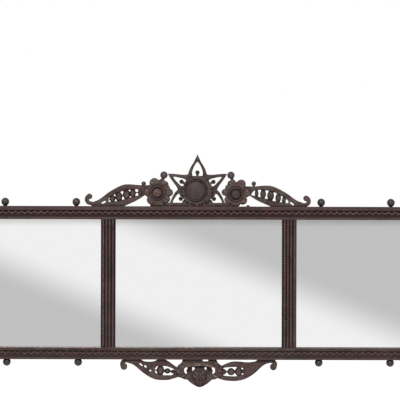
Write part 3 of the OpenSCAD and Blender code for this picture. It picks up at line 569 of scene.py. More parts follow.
@dataclass(frozen=True)
class Finish:
    """What every finish has: its name, a slot name and how it shines."""

    name: str
    slot: str
    rough: float = 0.5
    specular: float = 0.3

    def surface(self, bench: Bench) -> dict[str, Socket]:
        """Builds the finish's own nodes and gives what goes into the surface shader."""
        raise NotImplementedError

    def material(self) -> bpy.types.Material:
        """Gives the finish's material, made the first time.

        Returns:
            The material.
        """
        if self.name in bpy.data.materials:
            return bpy.data.materials[self.name]
        mat, bench = new_material(self.name)
        values = {"Roughness": self.rough, "Specular IOR Level": self.specular, **self.surface(bench)}
        shader = bench.add("BsdfPrincipled", values)
        bench.add("OutputMaterial", {"Surface": shader.outputs[0]})
        return mat


@dataclass(frozen=True)
class Wood(Finish):
    """Old dark polished wood, with its grain along one axis."""

    dark: Colour = rgb(46, 33, 32)
    light: Colour = rgb(80, 64, 62)
    ruddy: Colour = rgb(88, 58, 56)
    cool: Colour = rgb(76, 70, 64)
    rubbed: Colour = rgb(112, 95, 89)
    grime: Colour = rgb(20, 11, 10)
    grain: Triple = (0.05, 1.0, 1.0)
    streak: float = 0.6
    ruddy_share: float = 0.5
    cool_share: float = 0.45
    rub_share: float = 0.7
    dust: float = 0.12
    bump: float = 0.25
    dirt_share: float = 0.93
    dust_colour: Colour = rgb(150, 142, 132)
    carved: bool = False
    patch_scale: float = 16.0

    def surface(self, bench: Bench) -> dict[str, Socket]:
        """Builds the wood's nodes.

        Args:
            bench: The bench on the material's tree.

        Returns:
            What goes into each input of the surface shader.
        """
        stretched = bench.along(self.grain)
        plain = bench.along(shift=(0.37, 0.11, 0.53))
        grain = bench.add("Group", {"Vector": stretched}, node_tree=effect_group(Effect.GRAIN))
        patina = bench.add("Group", {"Vector": plain, "Patch Scale": self.patch_scale},
                           node_tree=effect_group(Effect.PATINA))
        dust = bench.add("Group", {"Vector": plain, "Amount": self.dust}, node_tree=effect_group(Effect.DUST))
        tones = patina.outputs
        streaks = bench.sum("MULTIPLY", grain.outputs["Streaks"], self.streak)
        tone = bench.sum("MULTIPLY_ADD", tones["Mottle"], 0.4, streaks, clamp=True)
        body = bench.mix(tone, self.dark, self.light)
        body = bench.mix(bench.sum("MULTIPLY", tones["Patches"], self.ruddy_share), body, self.ruddy)
        body = bench.mix(bench.sum("MULTIPLY", tones["Cool"], self.cool_share), body, self.cool)
        rubbed = bench.sum("MULTIPLY", tones["Rubbed"], self.rub_share)
        # Dirt and painted shade: darker where ambient occlusion finds hollows and, on carvings, where the
        # relief lies low.
        grime_and_shade_mask = tones["Grime"]
        if self.carved:
            relief = bench.add("Attribute", attribute_name="relief").outputs["Fac"]
            touched = bench.spread(bench.noise(plain, 130, detail=4, rough=0.6), 0.42, 0.6)
            # High relief is lightened as wear and painted highlight.
            worn = bench.sum("MULTIPLY", bench.spread(relief, PROUD, 0.95), touched)
            rubbed = bench.sum("MAXIMUM", rubbed, bench.sum("MULTIPLY", worn, self.rub_share))
            grime_and_shade_mask = bench.sum("MAXIMUM", grime_and_shade_mask, bench.spread(relief, SUNK, 0.1))
        body = bench.mix(rubbed, body, self.rubbed)
        body = bench.mix(bench.sum("MULTIPLY", grime_and_shade_mask, self.dirt_share), body, self.grime)
        body = bench.mix(dust.outputs["Dust"], body, self.dust_colour)
        rough = bench.sum("MULTIPLY_ADD", grain.outputs["Pores"], -0.12, self.rough + 0.08)
        rough = bench.sum("MULTIPLY_ADD", dust.outputs["Dust"], 0.5, rough, clamp=True)
        chisel = bench.noise(plain, 320, detail=3, rough=0.5)
        height = bench.sum("MULTIPLY_ADD", chisel, 0.6, grain.outputs["Height"])
        bump = bench.add("Bump", {"Strength": self.bump, "Distance": 0.6 * MM, "Height": height})
        return {"Base Color": body, "Roughness": rough, "Normal": bump.outputs[0]}


@dataclass(frozen=True)
class Metal(Finish):
    """A metal that has dulled with age."""

    clean: Colour = rgb(190, 150, 90)
    dull: Colour = rgb(95, 70, 42)

    def surface(self, bench: Bench) -> dict[str, Socket]:
        """Builds the metal's nodes.

        Args:
            bench: The bench on the material's tree.

        Returns:
            What goes into each input of the surface shader.
        """
        plain = bench.along()
        patina = bench.add("Group", {"Vector": plain, "Edge Radius": 0.6 * MM, "Patch Scale": 220.0},
                           node_tree=effect_group(Effect.PATINA))
        tarnish = bench.sum("MAXIMUM", patina.outputs["Patches"], patina.outputs["Grime"])
        bright = tuple(min(1.0, c * 1.25) for c in self.clean)
        body = bench.mix(tarnish, self.clean, self.dull)
        body = bench.mix(patina.outputs["Rubbed"], body, bright)
        rough = bench.sum("MULTIPLY_ADD", tarnish, 0.25, self.rough)
        fine = bench.noise(plain, 1800, detail=2, rough=0.5)
        bump = bench.add("Bump", {"Strength": 0.12, "Distance": 0.3 * MM, "Height": fine})
        return {"Base Color": body, "Metallic": 1.0, "Roughness": rough, "Normal": bump.outputs[0]}


@dataclass(frozen=True)
class Silvering(Finish):
    """Old silvered glass, with a painted reflection of the top rail's dark underside along its top edge, a
    little darker along its bottom edge, and foxed along both.
    """

    top: float = 435 * MM
    bottom: float = 18.5 * MM
    silver: Colour = (0.93, 0.935, 0.93)
    # The colour of the painted reflection of the top rail along the glass's top edge.
    dim: Colour = (0.34, 0.325, 0.315)
    low: Colour = (0.40, 0.41, 0.42)
    speck: Colour = (0.12, 0.11, 0.10)

    def surface(self, bench: Bench) -> dict[str, Socket]:
        """Builds the glass's nodes.

        Args:
            bench: The bench on the material's tree.

        Returns:
            What goes into each input of the surface shader.
        """
        plain = bench.along()
        z = bench.add("SeparateXYZ", {0: plain}).outputs["Z"]
        edge = bench.sum("MULTIPLY_ADD", bench.noise(plain, 30, detail=3, rough=0.5), 6 * MM, z)
        # upper is the band of painted reflection under the top rail; lower darkens the bottom edge.
        upper = bench.spread(edge, self.top - 21 * MM, self.top + 4 * MM)
        lower = bench.spread(edge, self.bottom + 8 * MM, self.bottom)
        specks = bench.spread(bench.noise(plain, 420, detail=2, rough=0.5), 0.74, 0.80)
        worn = bench.sum("MULTIPLY", specks, bench.sum("MAXIMUM", upper, lower))
        body = bench.mix(bench.sum("MULTIPLY", upper, 0.42), self.silver, self.dim)
        body = bench.mix(bench.sum("MULTIPLY", lower, 0.3), body, self.low)
        body = bench.mix(bench.sum("MULTIPLY", worn, 0.6), body, self.speck)
        rough = bench.sum("MULTIPLY_ADD", worn, 0.3, self.rough)
        return {"Base Color": body, "Metallic": 1.0, "Roughness": rough}


class Palette:
    """The finishes of the mirror."""

    RAIL = Wood("rail wood", "frame_wood", grain=(0.035, 1.0, 1.0), carved=True, specular=0.08,
                dark=rgb(46, 36, 36), light=rgb(80, 67, 66), ruddy=rgb(84, 60, 59), cool=rgb(78, 72, 68),
                grime=rgb(38, 22, 20))
    LOW_RAIL = replace(RAIL, name="worn rail wood", dark=rgb(46, 36, 35), light=rgb(82, 69, 66),
                       ruddy=rgb(88, 63, 59), grime=rgb(40, 26, 25), cool=rgb(80, 75, 67),
                       cool_share=0.5, patch_scale=10.0)
    POST = Wood("post wood", "frame_wood", grain=(1.0, 1.0, 0.035), carved=True, specular=0.08,
                dark=rgb(50, 37, 36), light=rgb(88, 72, 70), ruddy=rgb(92, 64, 62), cool=rgb(84, 77, 72))
    WAVE = Wood("wave wood", "frame_wood", grain=(0.1, 1.0, 1.0), carved=True, specular=0.08,
                light=rgb(88, 73, 71), rub_share=0.38, grime=rgb(36, 20, 18))
    LOW_WAVE = replace(WAVE, name="worn wave wood", dark=rgb(50, 38, 37), light=rgb(84, 70, 67),
                       ruddy=rgb(84, 60, 57), rub_share=0.25, cool=rgb(80, 74, 67), cool_share=0.5,
                       grime=rgb(38, 24, 23))
    CARVED = Wood("carved wood", "carved_wood", grain=(0.12, 1.0, 1.0), carved=True, bump=0.35,
                  specular=0.07, rough=0.58, dark=rgb(44, 33, 32), light=rgb(90, 75, 72),
                  ruddy=rgb(92, 67, 64), ruddy_share=0.4, cool=rgb(84, 80, 73), cool_share=0.65,
                  rubbed=rgb(132, 116, 109), rub_share=0.85, grime=rgb(34, 22, 20))
    STAR = replace(CARVED, name="star wood", dark=rgb(42, 34, 33), light=rgb(84, 73, 70),
                   ruddy=rgb(84, 62, 59), ruddy_share=0.3, cool_share=0.8, patch_scale=24.0)
    TURNED = Wood("turned wood", "turned_wood", grain=(1.0, 1.0, 0.2), dark=rgb(34, 28, 29),
                  light=rgb(56, 48, 48), ruddy=rgb(62, 44, 44), cool=rgb(56, 53, 52), dust=0.0,
                  rubbed=rgb(84, 74, 72), rough=0.28, specular=0.26, bump=0.12)
    CROWN = replace(TURNED, name="crown wood", dark=rgb(48, 38, 39), light=rgb(76, 64, 64),
                    ruddy=rgb(84, 62, 62), cool=rgb(72, 66, 64), rubbed=rgb(96, 84, 82),
                    rough=0.32, specular=0.22)
    BOSS = replace(TURNED, name="boss wood", grain=(1.0, 1.0, 0.3), dark=rgb(52, 42, 44),
                   light=rgb(70, 58, 60), ruddy=rgb(68, 52, 52), cool=rgb(66, 61, 58), cool_share=0.3,
                   rubbed=rgb(86, 75, 73), rough=0.55, specular=0.15, bump=0.1)
    RUDDY = Wood("ruddy wood", "carved_wood", grain=(1.0, 1.0, 0.3), dark=rgb(70, 48, 45), dust=0.0,
                 light=rgb(98, 76, 70), ruddy=rgb(100, 72, 66), cool_share=0.1, rough=0.45,
                 specular=0.2, bump=0.1)
    PINE = Wood("old pine", "pine", grain=(0.03, 1.0, 1.0), dark=rgb(132, 100, 66), light=rgb(176, 142, 100),
                ruddy=rgb(120, 84, 54), rubbed=rgb(196, 168, 126), grime=rgb(70, 52, 36), rough=0.75,
                specular=0.15, bump=0.5, streak=0.9)
    BRASS = Metal("aged brass", "brass", rough=0.34, clean=rgb(176, 140, 80), dull=rgb(92, 68, 40))
    STEEL = Metal("dull steel", "steel", rough=0.4, clean=rgb(150, 150, 152), dull=rgb(88, 80, 74))
    GLASS = Silvering("silvered glass", "silvered_glass", rough=0.006, specular=0.5)


def hand_in(obj: bpy.types.Object, finish: Finish, node: str, body: str = "frame") -> None:
    """Dresses a finished piece and puts it in the place of its CAD node.

    Args:
        obj: The piece.
        finish: Its finish.
        node: The CAD node that it stands for.
        body: The body that it moves with.
    """
    obj.data.materials.clear()
    obj.data.materials.append(finish.material())
    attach(obj, body)
    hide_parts(node)
    LOG.info("%s: %d faces, %s, for %s", obj.name, len(obj.data.polygons), finish.name, node)


def dress(node: str, finish: Finish) -> None:
    """Gives a CAD node that stays a better material.

    Args:
        node: The CAD node.
        finish: Its finish.
    """
    obj = bpy.data.objects[node]
    if not obj.material_slots:
        obj.data.materials.append(None)
    for slot in obj.material_slots:
        slot.material = finish.material()
    LOG.info("%s: CAD node kept, %s", node, finish.name)


# --- Carving ----------------------------------------------------------------


def bell(value: np.ndarray, width: float) -> np.ndarray:
    """Gives 1 where the value is 0, falling off over the width."""
    return np.exp(-((value / width) ** 2))


def ease(value: np.ndarray, low: float, high: float) -> np.ndarray:
    """Gives 0 below low and 1 above high, and goes smoothly between them."""
    t = np.clip((value - low) / (high - low), 0, 1)
    return t * t * (3 - 2 * t)


def uneven(x: np.ndarray, z: np.ndarray, size: float, seed: float = 0.0) -> np.ndarray:
    """Gives slow hand-made unevenness from -1 to 1.

    Args:
        x: Places across.
        z: Places up.
        size: The size of the swells.
        seed: A number that moves the pattern.

    Returns:
        The unevenness at each place.
    """
    u, v = x / size * 2.1 + seed, z / size * 2.3 - seed
    return (np.sin(u + 1.7 * np.sin(v * 0.7)) + np.sin(v * 1.3 + 1.1 * np.sin(u * 0.9 + 2)) +
            np.sin((u + v) * 0.8 + seed * 2)) / 3


def apart(angle: np.ndarray, axis: float) -> np.ndarray:
    """Gives the degrees between each angle and an axis, the short way round."""
    return np.abs((angle - axis + 180) % 360 - 180)


@dataclass
class Carving:
    """A carved board: a fine copy of its CAD board, worked from the front."""

    node: str
    piece: str
    front: float
    back: float
    finish: Finish = Palette.CARVED
    voxel: float = 1.25 * MM
    edge_r: float = 4.0 * MM
    edge_drop: float = 3.0 * MM
    middle: Pair = (0.0, 0.0)
    rim_step: float = 0.8 * MM
    front_share: float = 0.7

    def lift(self, x: np.ndarray, z: np.ndarray, edge: np.ndarray) -> np.ndarray:
        """Gives how far the carver's tool left each place above the board's face."""
        return 0.25 * MM * uneven(x, z, 14 * MM)

    def extras(self) -> list[bpy.types.Object]:
        """Gives the rounded lumps that stand on the board, none unless a carving adds them."""
        return []

    def rim(self, mesh: bpy.types.Mesh) -> KDTree:
        """Collects the edge of the board's face.

        Args:
            mesh: The merged CAD board.

        Returns:
            The edge's places, flat, for quick searching.
        """
        seen: dict[tuple[int, int], int] = {}
        for poly in mesh.polygons:
            if poly.normal.y < -0.9 and abs(poly.center.y - self.front) < NEAR / 2:
                for key in poly.edge_keys:
                    seen[key] = seen.get(key, 0) + 1
        places = []
        for (a, b), count in seen.items():
            if count == 1:
                p, q = mesh.vertices[a].co, mesh.vertices[b].co
                steps = max(1, int((q - p).length / self.rim_step))
                places += [p.lerp(q, i / steps) for i in range(steps + 1)]
        tree = KDTree(len(places))
        for i, p in enumerate(places):
            tree.insert((p.x, 0, p.z), i)
        tree.balance()
        return tree

    def build(self) -> None:
        """Makes the carving."""
        obj = node_copy(self.node, self.piece)
        rim = self.rim(obj.data)
        obj = joined(self.piece, [obj, *self.extras()])
        apply(obj, "REMESH", mode="VOXEL", voxel_size=self.voxel, adaptivity=0.0)
        apply(obj, "SMOOTH", factor=0.5, iterations=2)
        co = points_of(obj.data)
        edge = np.array([rim.find((x, 0, z))[2] for x, _, z in co])
        x, z = co[:, 0] - self.middle[0], co[:, 2] - self.middle[1]
        outward = 1 - np.clip(edge / self.edge_r, 0, 1)
        drop = self.edge_drop * (1 - np.sqrt(np.clip(1 - outward ** 2, 0, 1)))
        rise = self.lift(x, z, edge) - drop
        share = (self.back - co[:, 1]) / (self.back - self.front)
        co[:, 1] -= np.clip(share, 0, 1) * rise
        put_points(obj.data, np.clip(co, *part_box(self.node)))
        # Low places take dirt and painted shade from the finish, high places wear and painted highlight.
        level = FLAT + rise / (2 * self.edge_drop)
        mark_relief(obj, np.clip(np.where(share > self.front_share, level, SIDE), 0, 1))
        smooth(obj, 60)
        hand_in(obj, self.finish, self.node)


@dataclass
class StarCarving(Carving):
    """The five-petalled star on its chip-carved foot, with bands cut like twisted rope.

    Only the lower bands of the plain petals are twisted.
    """

    petals: tuple[float, ...] = (90, 30, 150, -30, -150)
    plain_petals: tuple[float, ...] = (30, 150)
    hub_r: float = 51 * MM
    pitch: float = 6.0 * MM
    lean: float = 1.1
    twist: float = 1.0 * MM
    sink: float = 0.4 * MM
    plain_sink: float = 0.5 * MM
    foot_top: float = -36 * MM
    chip: float = 0.7 * MM

    def lift(self, x: np.ndarray, z: np.ndarray, edge: np.ndarray) -> np.ndarray:
        """Gives the star's relief.

        Args:
            x: Places across, from the carving's middle.
            z: Places up, from the carving's middle.
            edge: Distances to the nearest edge of the face.

        Returns:
            The lift at each place, less than nothing where it is cut away.
        """
        rise = super().lift(x, z, edge)
        r, angle = np.hypot(x, z), np.degrees(np.arctan2(z, x))
        outside = ease(r, self.hub_r - 2 * MM, self.hub_r + 2 * MM)
        bands = outside * ease(z, self.foot_top - 2 * MM, self.foot_top + 2 * MM)
        for axis in self.petals:
            a = math.radians(axis)
            near = (apart(angle, axis) < 30) * bands
            out, off = x * math.cos(a) + z * math.sin(a), -x * math.sin(a) + z * math.cos(a)
            upper = math.copysign(1, math.cos(a)) * off
            plain = ease(upper, 0, 1 * MM) if axis in self.plain_petals else 0.0
            strand = np.sin(2 * math.pi * (out + np.abs(off) * self.lean) / self.pitch)
            rise += near * (1 - plain) * (self.twist * strand - self.sink)
            rise -= near * plain * self.plain_sink
        foot = 1 - ease(z, self.foot_top - 3 * MM, self.foot_top)
        chips = np.sin(x / (2.6 * MM)) * np.sin(z / (2.0 * MM) + x / (9 * MM))
        return rise + foot * self.chip * chips


@dataclass
class HubCarving(Carving):
    """The leafy disc behind the boss, with two rolls under it."""

    lumps: int = 24
    sweep: float = 0.5
    leaf_from: float = 36 * MM
    leaf_to: float = 44 * MM
    leaf_rise: float = 0.8 * MM
    swell: float = 2.0 * MM
    boss: Pair = (-5 * MM, 1.5 * MM)
    seat_r: float = 36.5 * MM
    seat_cut: float = 1.4 * MM
    ground_r: float = 49.5 * MM
    ground_rise: float = 6 * MM
    roll_deep: float = 3.6 * MM
    rolls: tuple[Triple, ...] = ((36 * MM, -46.6 * MM, 3.8 * MM), (27 * MM, -40.4 * MM, 3.0 * MM))

    def extras(self) -> list[bpy.types.Object]:
        """Makes the ground behind the lobes and the two rolls under the boss.

        Returns:
            The lumps.
        """
        x, z = self.middle
        r, top, under = self.ground_r, self.ground_rise, -3 * MM
        ground = turned("ground", [(0.0, under), (r, under), (r, top - 1 * MM), (r - 3 * MM, top),
                                   (0.0, top)], 72)
        ground.data.transform(frame_at(Vector((x, self.back, z)), FORWARD))
        return [ground] + [egg("roll", Vector((x, self.front + 1 * MM, z + up)), (half, self.roll_deep, high))
                           for half, up, high in self.rolls]

    def lift(self, x: np.ndarray, z: np.ndarray, edge: np.ndarray) -> np.ndarray:
        """Gives the hub's relief.

        Args:
            x: Places across, from the carving's middle.
            z: Places up, from the carving's middle.
            edge: Distances to the nearest edge of the face.

        Returns:
            The lift at each place, less than nothing where it is cut away.
        """
        r, angle = np.hypot(x, z), np.arctan2(z, x)
        swept = angle + self.sweep * (r - self.leaf_to) / self.leaf_to
        leaf = np.cos(self.lumps * swept) * ease(r, self.leaf_from, self.leaf_to)
        off = np.hypot(x - self.boss[0], z - self.boss[1])
        rise = super().lift(x, z, edge) + self.leaf_rise * leaf
        rise -= self.seat_cut * bell(off - self.seat_r, 1.6 * MM)
        return rise + self.swell * ease(r, 38 * MM, self.leaf_to) * uneven(x, z, 11 * MM, 3)


@dataclass
class RosetteCarving(Carving):
    """A lobed rosette with a raised ring round its dome."""

    side: Side = Side.LEFT
    lobes: tuple[float, ...] = ()
    ring: Pair = (0.0, 0.0)
    ring_r: float = 26 * MM
    ring_cut: float = 1.6 * MM
    cup_r: float = 20 * MM
    cup_cut: float = 2.6 * MM
    crease_cut: float = 1.4 * MM
    petal_rise: float = 1.0 * MM
    rough: float = 1.3 * MM
    ripple: float = 0.6 * MM

    def lift(self, x: np.ndarray, z: np.ndarray, edge: np.ndarray) -> np.ndarray:
        """Gives the rosette's relief.

        Args:
            x: Places across, from the carving's middle.
            z: Places up, from the carving's middle.
            edge: Distances to the nearest edge of the face.

        Returns:
            The lift at each place, less than nothing where it is cut away.
        """
        out = x * self.side.value
        r, angle = np.hypot(out, z), np.degrees(np.arctan2(z, out)) % 360
        away, second = np.sort([apart(angle, lobe) for lobe in self.lobes], axis=0)[:2]
        near = np.hypot(x - self.ring[0], z - self.ring[1])
        crease = bell(second - away, 9) * ease(near, 25 * MM, 31 * MM)
        petal = ease(near, 25 * MM, 35 * MM) * (1 - ease(away, 0, 30))
        rise = super().lift(x, z, edge) - self.crease_cut * crease + self.petal_rise * petal
        rise += self.rough * uneven(x, z, 6 * MM, 2) * ease(near, 28 * MM, 32 * MM)
        rise += self.ripple * np.sin(r / (1.4 * MM)) * ease(near, 30 * MM, 33 * MM) * (1 - crease)
        rise -= self.ring_cut * bell(near - self.ring_r, 1.8 * MM)
        return rise - self.cup_cut * (1 - ease(near, self.cup_r - 3 * MM, self.cup_r))


@dataclass
class WingCarving(Carving):
    """A scrolled wing with an incised line inside its edge and domed beads in its window."""

    beads: tuple[Bead, ...] = ()
    hatch: float = 1.0
    swell: float = 0.0
    line_in: float = 4.0 * MM
    line_cut: float = 1.3 * MM
    vein: float = 0.6 * MM
    bead_dome: float = 6.6 * MM
    bead_sink: float = 5.7 * MM

    def extras(self) -> list[bpy.types.Object]:
        """Makes the swollen beads.

        Returns:
            The lumps.
        """
        x, z = self.middle
        deep = (self.back - self.front) / 2
        return [egg("bead", Vector((x + across, self.front + deep, z + up)),
                    (half_w + self.swell, deep, half_h + 0.3 * self.swell))
                for across, up, half_w, half_h in self.beads]

    def lift(self, x: np.ndarray, z: np.ndarray, edge: np.ndarray) -> np.ndarray:
        """Gives the wing's relief.

        Args:
            x: Places across, from the carving's middle.
            z: Places up, from the carving's middle.
            edge: Distances to the nearest edge of the face.

        Returns:
            The lift at each place, less than nothing where it is cut away.
        """
        rise = super().lift(x, z, edge)
        bead = np.zeros_like(x)
        for across, up, half_w, half_h in self.beads:
            off = np.hypot((x - across) / half_w, (z - up) / half_h)
            bead = np.maximum(bead, 1 - np.clip(off, 0, 1) ** 2)
        veins = np.sin((x * self.hatch + z * 1.5) / (1.25 * MM)) * ease(edge, 4.5 * MM, 6 * MM)
        wood = self.vein * veins - self.line_cut * bell(edge - self.line_in, 1.1 * MM)
        return rise + np.where(bead > 0, self.bead_dome * np.sqrt(bead) - self.bead_sink, wood)


@dataclass
class FlowerCarving(Carving):
    """The apron's flower, with an arched brow over the bud and leaves down its sides."""

    eye_at: Pair = (35.34 * MM, -38.675 * MM)
    eye_r: float = 8 * MM
    eye_cut: float = 1.5 * MM
    ball_r: float = 8.7 * MM
    ball_at: Pair = (31 * MM, -33.5 * MM)
    brow_down: float = 22 * MM
    brow_half: float = 46 * MM
    brow_fall: float = 9 * MM
    brow_rise: float = 2.8 * MM
    under_cut: float = 5.5 * MM
    leaf_rise: float = 1.3 * MM

    def extras(self) -> list[bpy.types.Object]:
        """Makes the two balls beside the bud.

        Returns:
            The lumps.
        """
        x, z = self.middle
        across, up = self.ball_at
        y = self.front + 0.5 * self.ball_r
        return [egg("eye", Vector((x + side.value * across, y, z + up)), (self.ball_r,) * 3)
                for side in Side]

    def lift(self, x: np.ndarray, z: np.ndarray, edge: np.ndarray) -> np.ndarray:
        """Gives the flower's relief.

        Args:
            x: Places across, from the carving's middle.
            z: Places up, from the carving's middle.
            edge: Distances to the nearest edge of the face.

        Returns:
            The lift at each place, less than nothing where it is cut away.
        """
        across = np.abs(x)
        brow = z + self.brow_down + (across / self.brow_half) ** 2 * self.brow_fall
        rise = super().lift(x, z, edge)
        rise += self.brow_rise * bell(brow - 4 * MM, 4.5 * MM) * (1 - ease(across, 40 * MM, 50 * MM))
        rise -= self.under_cut * bell(brow + 3.5 * MM, 3.4 * MM) * (1 - ease(across, 34 * MM, 46 * MM))
        rise += 1.1 * MM * uneven(x, z, 7 * MM, 4) * ease(brow, 6 * MM, 10 * MM)
        leaf = np.sin((across * 0.62 + z) / (2.1 * MM))
        rise += self.leaf_rise * leaf * ease(across, 22 * MM, 30 * MM) * ease(-z, 30 * MM, 40 * MM)
        rise += 1.6 * MM * uneven(x, z, 7 * MM, 5) * ease(across, 36 * MM, 46 * MM)
        eye = np.hypot(across - self.eye_at[0], z - self.eye_at[1])
        return rise - self.eye_cut * (eye < self.eye_r)


@dataclass
class BudCarving(Carving):
    """The bud, with pairs of pointed petals laid one over another."""

    first_row: float = 27 * MM
    row_high: float = 15 * MM
    point: float = 0.75
    row_rise: float = 4.2 * MM
    row_sink: float = 2.6 * MM
    spine_cut: float = 3.0 * MM
    spine_half: float = 1.8 * MM

    def lift(self, x: np.ndarray, z: np.ndarray, edge: np.ndarray) -> np.ndarray:
        """Gives the bud's relief.

        Args:
            x: Places across, from the carving's middle.
            z: Places up, from the carving's middle.
            edge: Distances to the nearest edge of the face.

        Returns:
            The lift at each place, less than nothing where it is cut away.
        """
        across = np.abs(x)
        row = (-z - self.first_row + across * self.point) / self.row_high
        step = row - np.floor(row)
        rise = super().lift(x, z, edge) + self.row_rise * step - self.row_sink
        rise -= self.spine_cut * bell(x, self.spine_half) * ease(step, 0.1, 0.5)
        rise += 1.5 * MM * uneven(x, z, 5 * MM, 7)
        return rise + 0.4 * MM * np.sin(across / (1.0 * MM)) * step


# --- The mirror -------------------------------------------------------------


@dataclass
class Framing:
    """Both rails, the stiles and the mullions, with the waves planted in the rails."""

    rail_depth: float = 34 * MM
    post_depth: float = 32 * MM
    channel: float = 6 * MM
    wave_pitch: float = 21 * MM
    wave_swing: float = 3.4 * MM
    wave_wander: float = 0.25
    ribbon_half: float = 3.9 * MM
    ribbon_rise: float = 4.8 * MM
    ribbon_nip: float = 0.12
    ribbon_round: float = 0.6
    ribbon_bed: float = 0.2 * MM
    ebb: float = 0.08
    ebb_pace: float = 0.37
    half_length: float = 735 * MM
    step: float = 1.75 * MM
    bead_at: float = 15.0 * MM
    bead_r: float = 3.6 * MM
    bead_pitch: float = 9 * MM
    bead_gap: float = 1.4 * MM
    bead_proud: float = 1.5 * MM
    bead_stop: float = 26 * MM
    # The levels of painted shade on each post's sunk ground, across the post: the lower the level, the
    # darker.
    grounds: dict[Side, tuple[Pair, ...]] = field(default_factory=lambda: {
        Side.LEFT: ((-21 * MM, 0.1), (-11 * MM, 0.3), (0.0, 0.34), (11 * MM, 0.14), (21 * MM, 0.1)),
        Side.RIGHT: ((-21 * MM, 0.1), (-11 * MM, 0.14), (0.0, 0.34), (11 * MM, 0.34), (21 * MM, 0.4))})
    reed_stop: float = 5 * MM
    reed_front: float = -25 * MM
    block_h: float = 1 * MM

    def wave(self, node: str, name: str, finish: Finish) -> None:
        """Makes one waved slip as a rounded ribbon that snakes along its channel.

        Args:
            node: The CAD slip.
            name: The piece's name.
            finish: Its finish.
        """
        low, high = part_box(node)
        middle = (low.z + high.z) / 2
        rows, ring = int(2 * self.half_length / self.step) + 1, 15
        obj = sheet(name, ring, rows)
        turn = np.tile(np.linspace(0, 2 * math.pi, ring), rows)
        x = np.repeat(np.linspace(-self.half_length, self.half_length, rows), ring)
        phase = 2 * math.pi * x / self.wave_pitch + self.wave_wander * uneven(x, x * 0, 160 * MM)
        half = self.ribbon_half * (1 + self.ribbon_nip * np.cos(2 * phase))
        z = middle - self.wave_swing * np.cos(phase) + half * np.cos(turn)
        dome = np.clip(np.sin(turn), 0, 1) ** self.ribbon_round
        rise = self.ribbon_rise * dome * (1 - self.ebb + self.ebb * np.sin(phase * self.ebb_pace))
        y = -self.rail_depth + self.channel - rise + self.ribbon_bed * (dome <= 0)
        put_points(obj.data, np.stack([x, y, z], axis=1))
        # The ribbon's foot is darkened as painted shade and its crest lightened as wear and painted
        # highlight.
        mark_relief(obj, 0.15 + 0.7 * dome)
        with editing(obj, "SELECT"):
            bpy.ops.mesh.remove_doubles(threshold=5e-6)
            bpy.ops.mesh.select_all(action="DESELECT")
            bpy.ops.mesh.select_non_manifold(extend=False)
            bpy.ops.mesh.edge_face_add()
            bpy.ops.mesh.select_all(action="SELECT")
            bpy.ops.mesh.normals_make_consistent(inside=False)
        smooth(obj, 50)
        hand_in(obj, finish, node)

    def reed_beads(self, middle: float, low: float, high: float) -> bpy.types.Object:
        """Makes the row of beads along a mullion's left reed.

        Args:
            middle: The mullion's middle, across.
            low: The height of its lower end.
            high: The height of its upper end.

        Returns:
            The row, joined.
        """
        r, pitch = self.bead_r, self.bead_pitch
        count = int((high - low - 2 * self.bead_stop) / pitch)
        first = Vector((middle - self.bead_at, -self.post_depth + r - self.bead_proud,
                        (low + high - count * pitch) / 2))
        bead = egg("reed_bead", Vector((0, 0, 0)), (r, r, (pitch - self.bead_gap) / 2))
        row = joined("reed_beads", [
            copied(bead, "bead_copy", Matrix.Translation(first + Vector((0, 0, i * pitch))))
            for i in range(count + 1)])
        bpy.data.objects.remove(bead)
        # Bead fronts are lightened as painted highlight and the notches between them darkened as painted
        # shade.
        front = -points_of(row.data)[:, 1] - self.post_depth
        mark_relief(row, 0.3 + 0.65 * ease(front, -1.5 * MM, 1.2 * MM))
        return row

    def post(self, side: Side, kind: str) -> None:
        """Makes one reeded post, and on a mullion the row of beads.

        Args:
            side: The side that it stands on.
            kind: Stile or mullion.
        """
        node = f"{side.word}_{kind}"
        shaped = softened(node, "shaped_" + node, 0.5 * MM, 50)
        low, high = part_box(node)
        middle = (low.x + high.x) / 2
        co = points_of(shaped.data)
        # The reeds run on, to a short block at each end.
        for way, rail in ((1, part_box("top_rail")[0].z), (-1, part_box("bottom_rail")[1].z)):
            ends = (np.abs(co[:, 2] - rail + way * self.reed_stop) < NEAR) & (co[:, 1] < self.reed_front)
            co[:, 2] += ends * way * (self.reed_stop - self.block_h)
        put_points(shaped.data, co)
        # Paints shade on the sunk ground between the reeds.
        mark_floor(shaped, -self.post_depth, self.channel,
                   [(middle + at, level) for at, level in self.grounds[side]])
        if kind == "mullion":
            shaped = joined("shaped_" + node, [shaped, self.reed_beads(middle, low.z, high.z)])
        hand_in(shaped, Palette.POST, node)

    def build(self) -> None:
        """Makes the framing's pieces."""
        # Each rail's channel floor is darkened as painted shade, the top rail's more.
        for node, finish, low in (("top_rail", Palette.RAIL, 0.1), ("bottom_rail", Palette.LOW_RAIL, 0.25)):
            rail = softened(node, "shaped_" + node, 1.2 * MM)
            mark_floor(rail, -self.rail_depth, self.channel, [(0.0, low)])
            hand_in(rail, finish, node)
        for side in Side:
            for kind in ("stile", "mullion"):
                self.post(side, kind)
        self.wave("top_waved_slip", "carved_top_wave", Palette.WAVE)
        self.wave("bottom_waved_slip", "carved_bottom_wave", Palette.LOW_WAVE)


@dataclass
class Glazing:
    """The three silvered panes and what holds them from behind."""

    bays: tuple[str, ...] = ("left", "centre", "right")

    def build(self) -> None:
        """Planes the backboards, and dresses the panes, sprigs and dowels."""
        for bay in self.bays:
            dress(f"{bay}_mirror_glass", Palette.GLASS)
            node = f"{bay}_backboard"
            hand_in(softened(node, "planed_" + node, 0.6 * MM), Palette.PINE, node)
        dress("backboard_sprigs", Palette.STEEL)
        for node in ("crest_dowels", "apron_dowels"):
            dress(node, Palette.PINE)


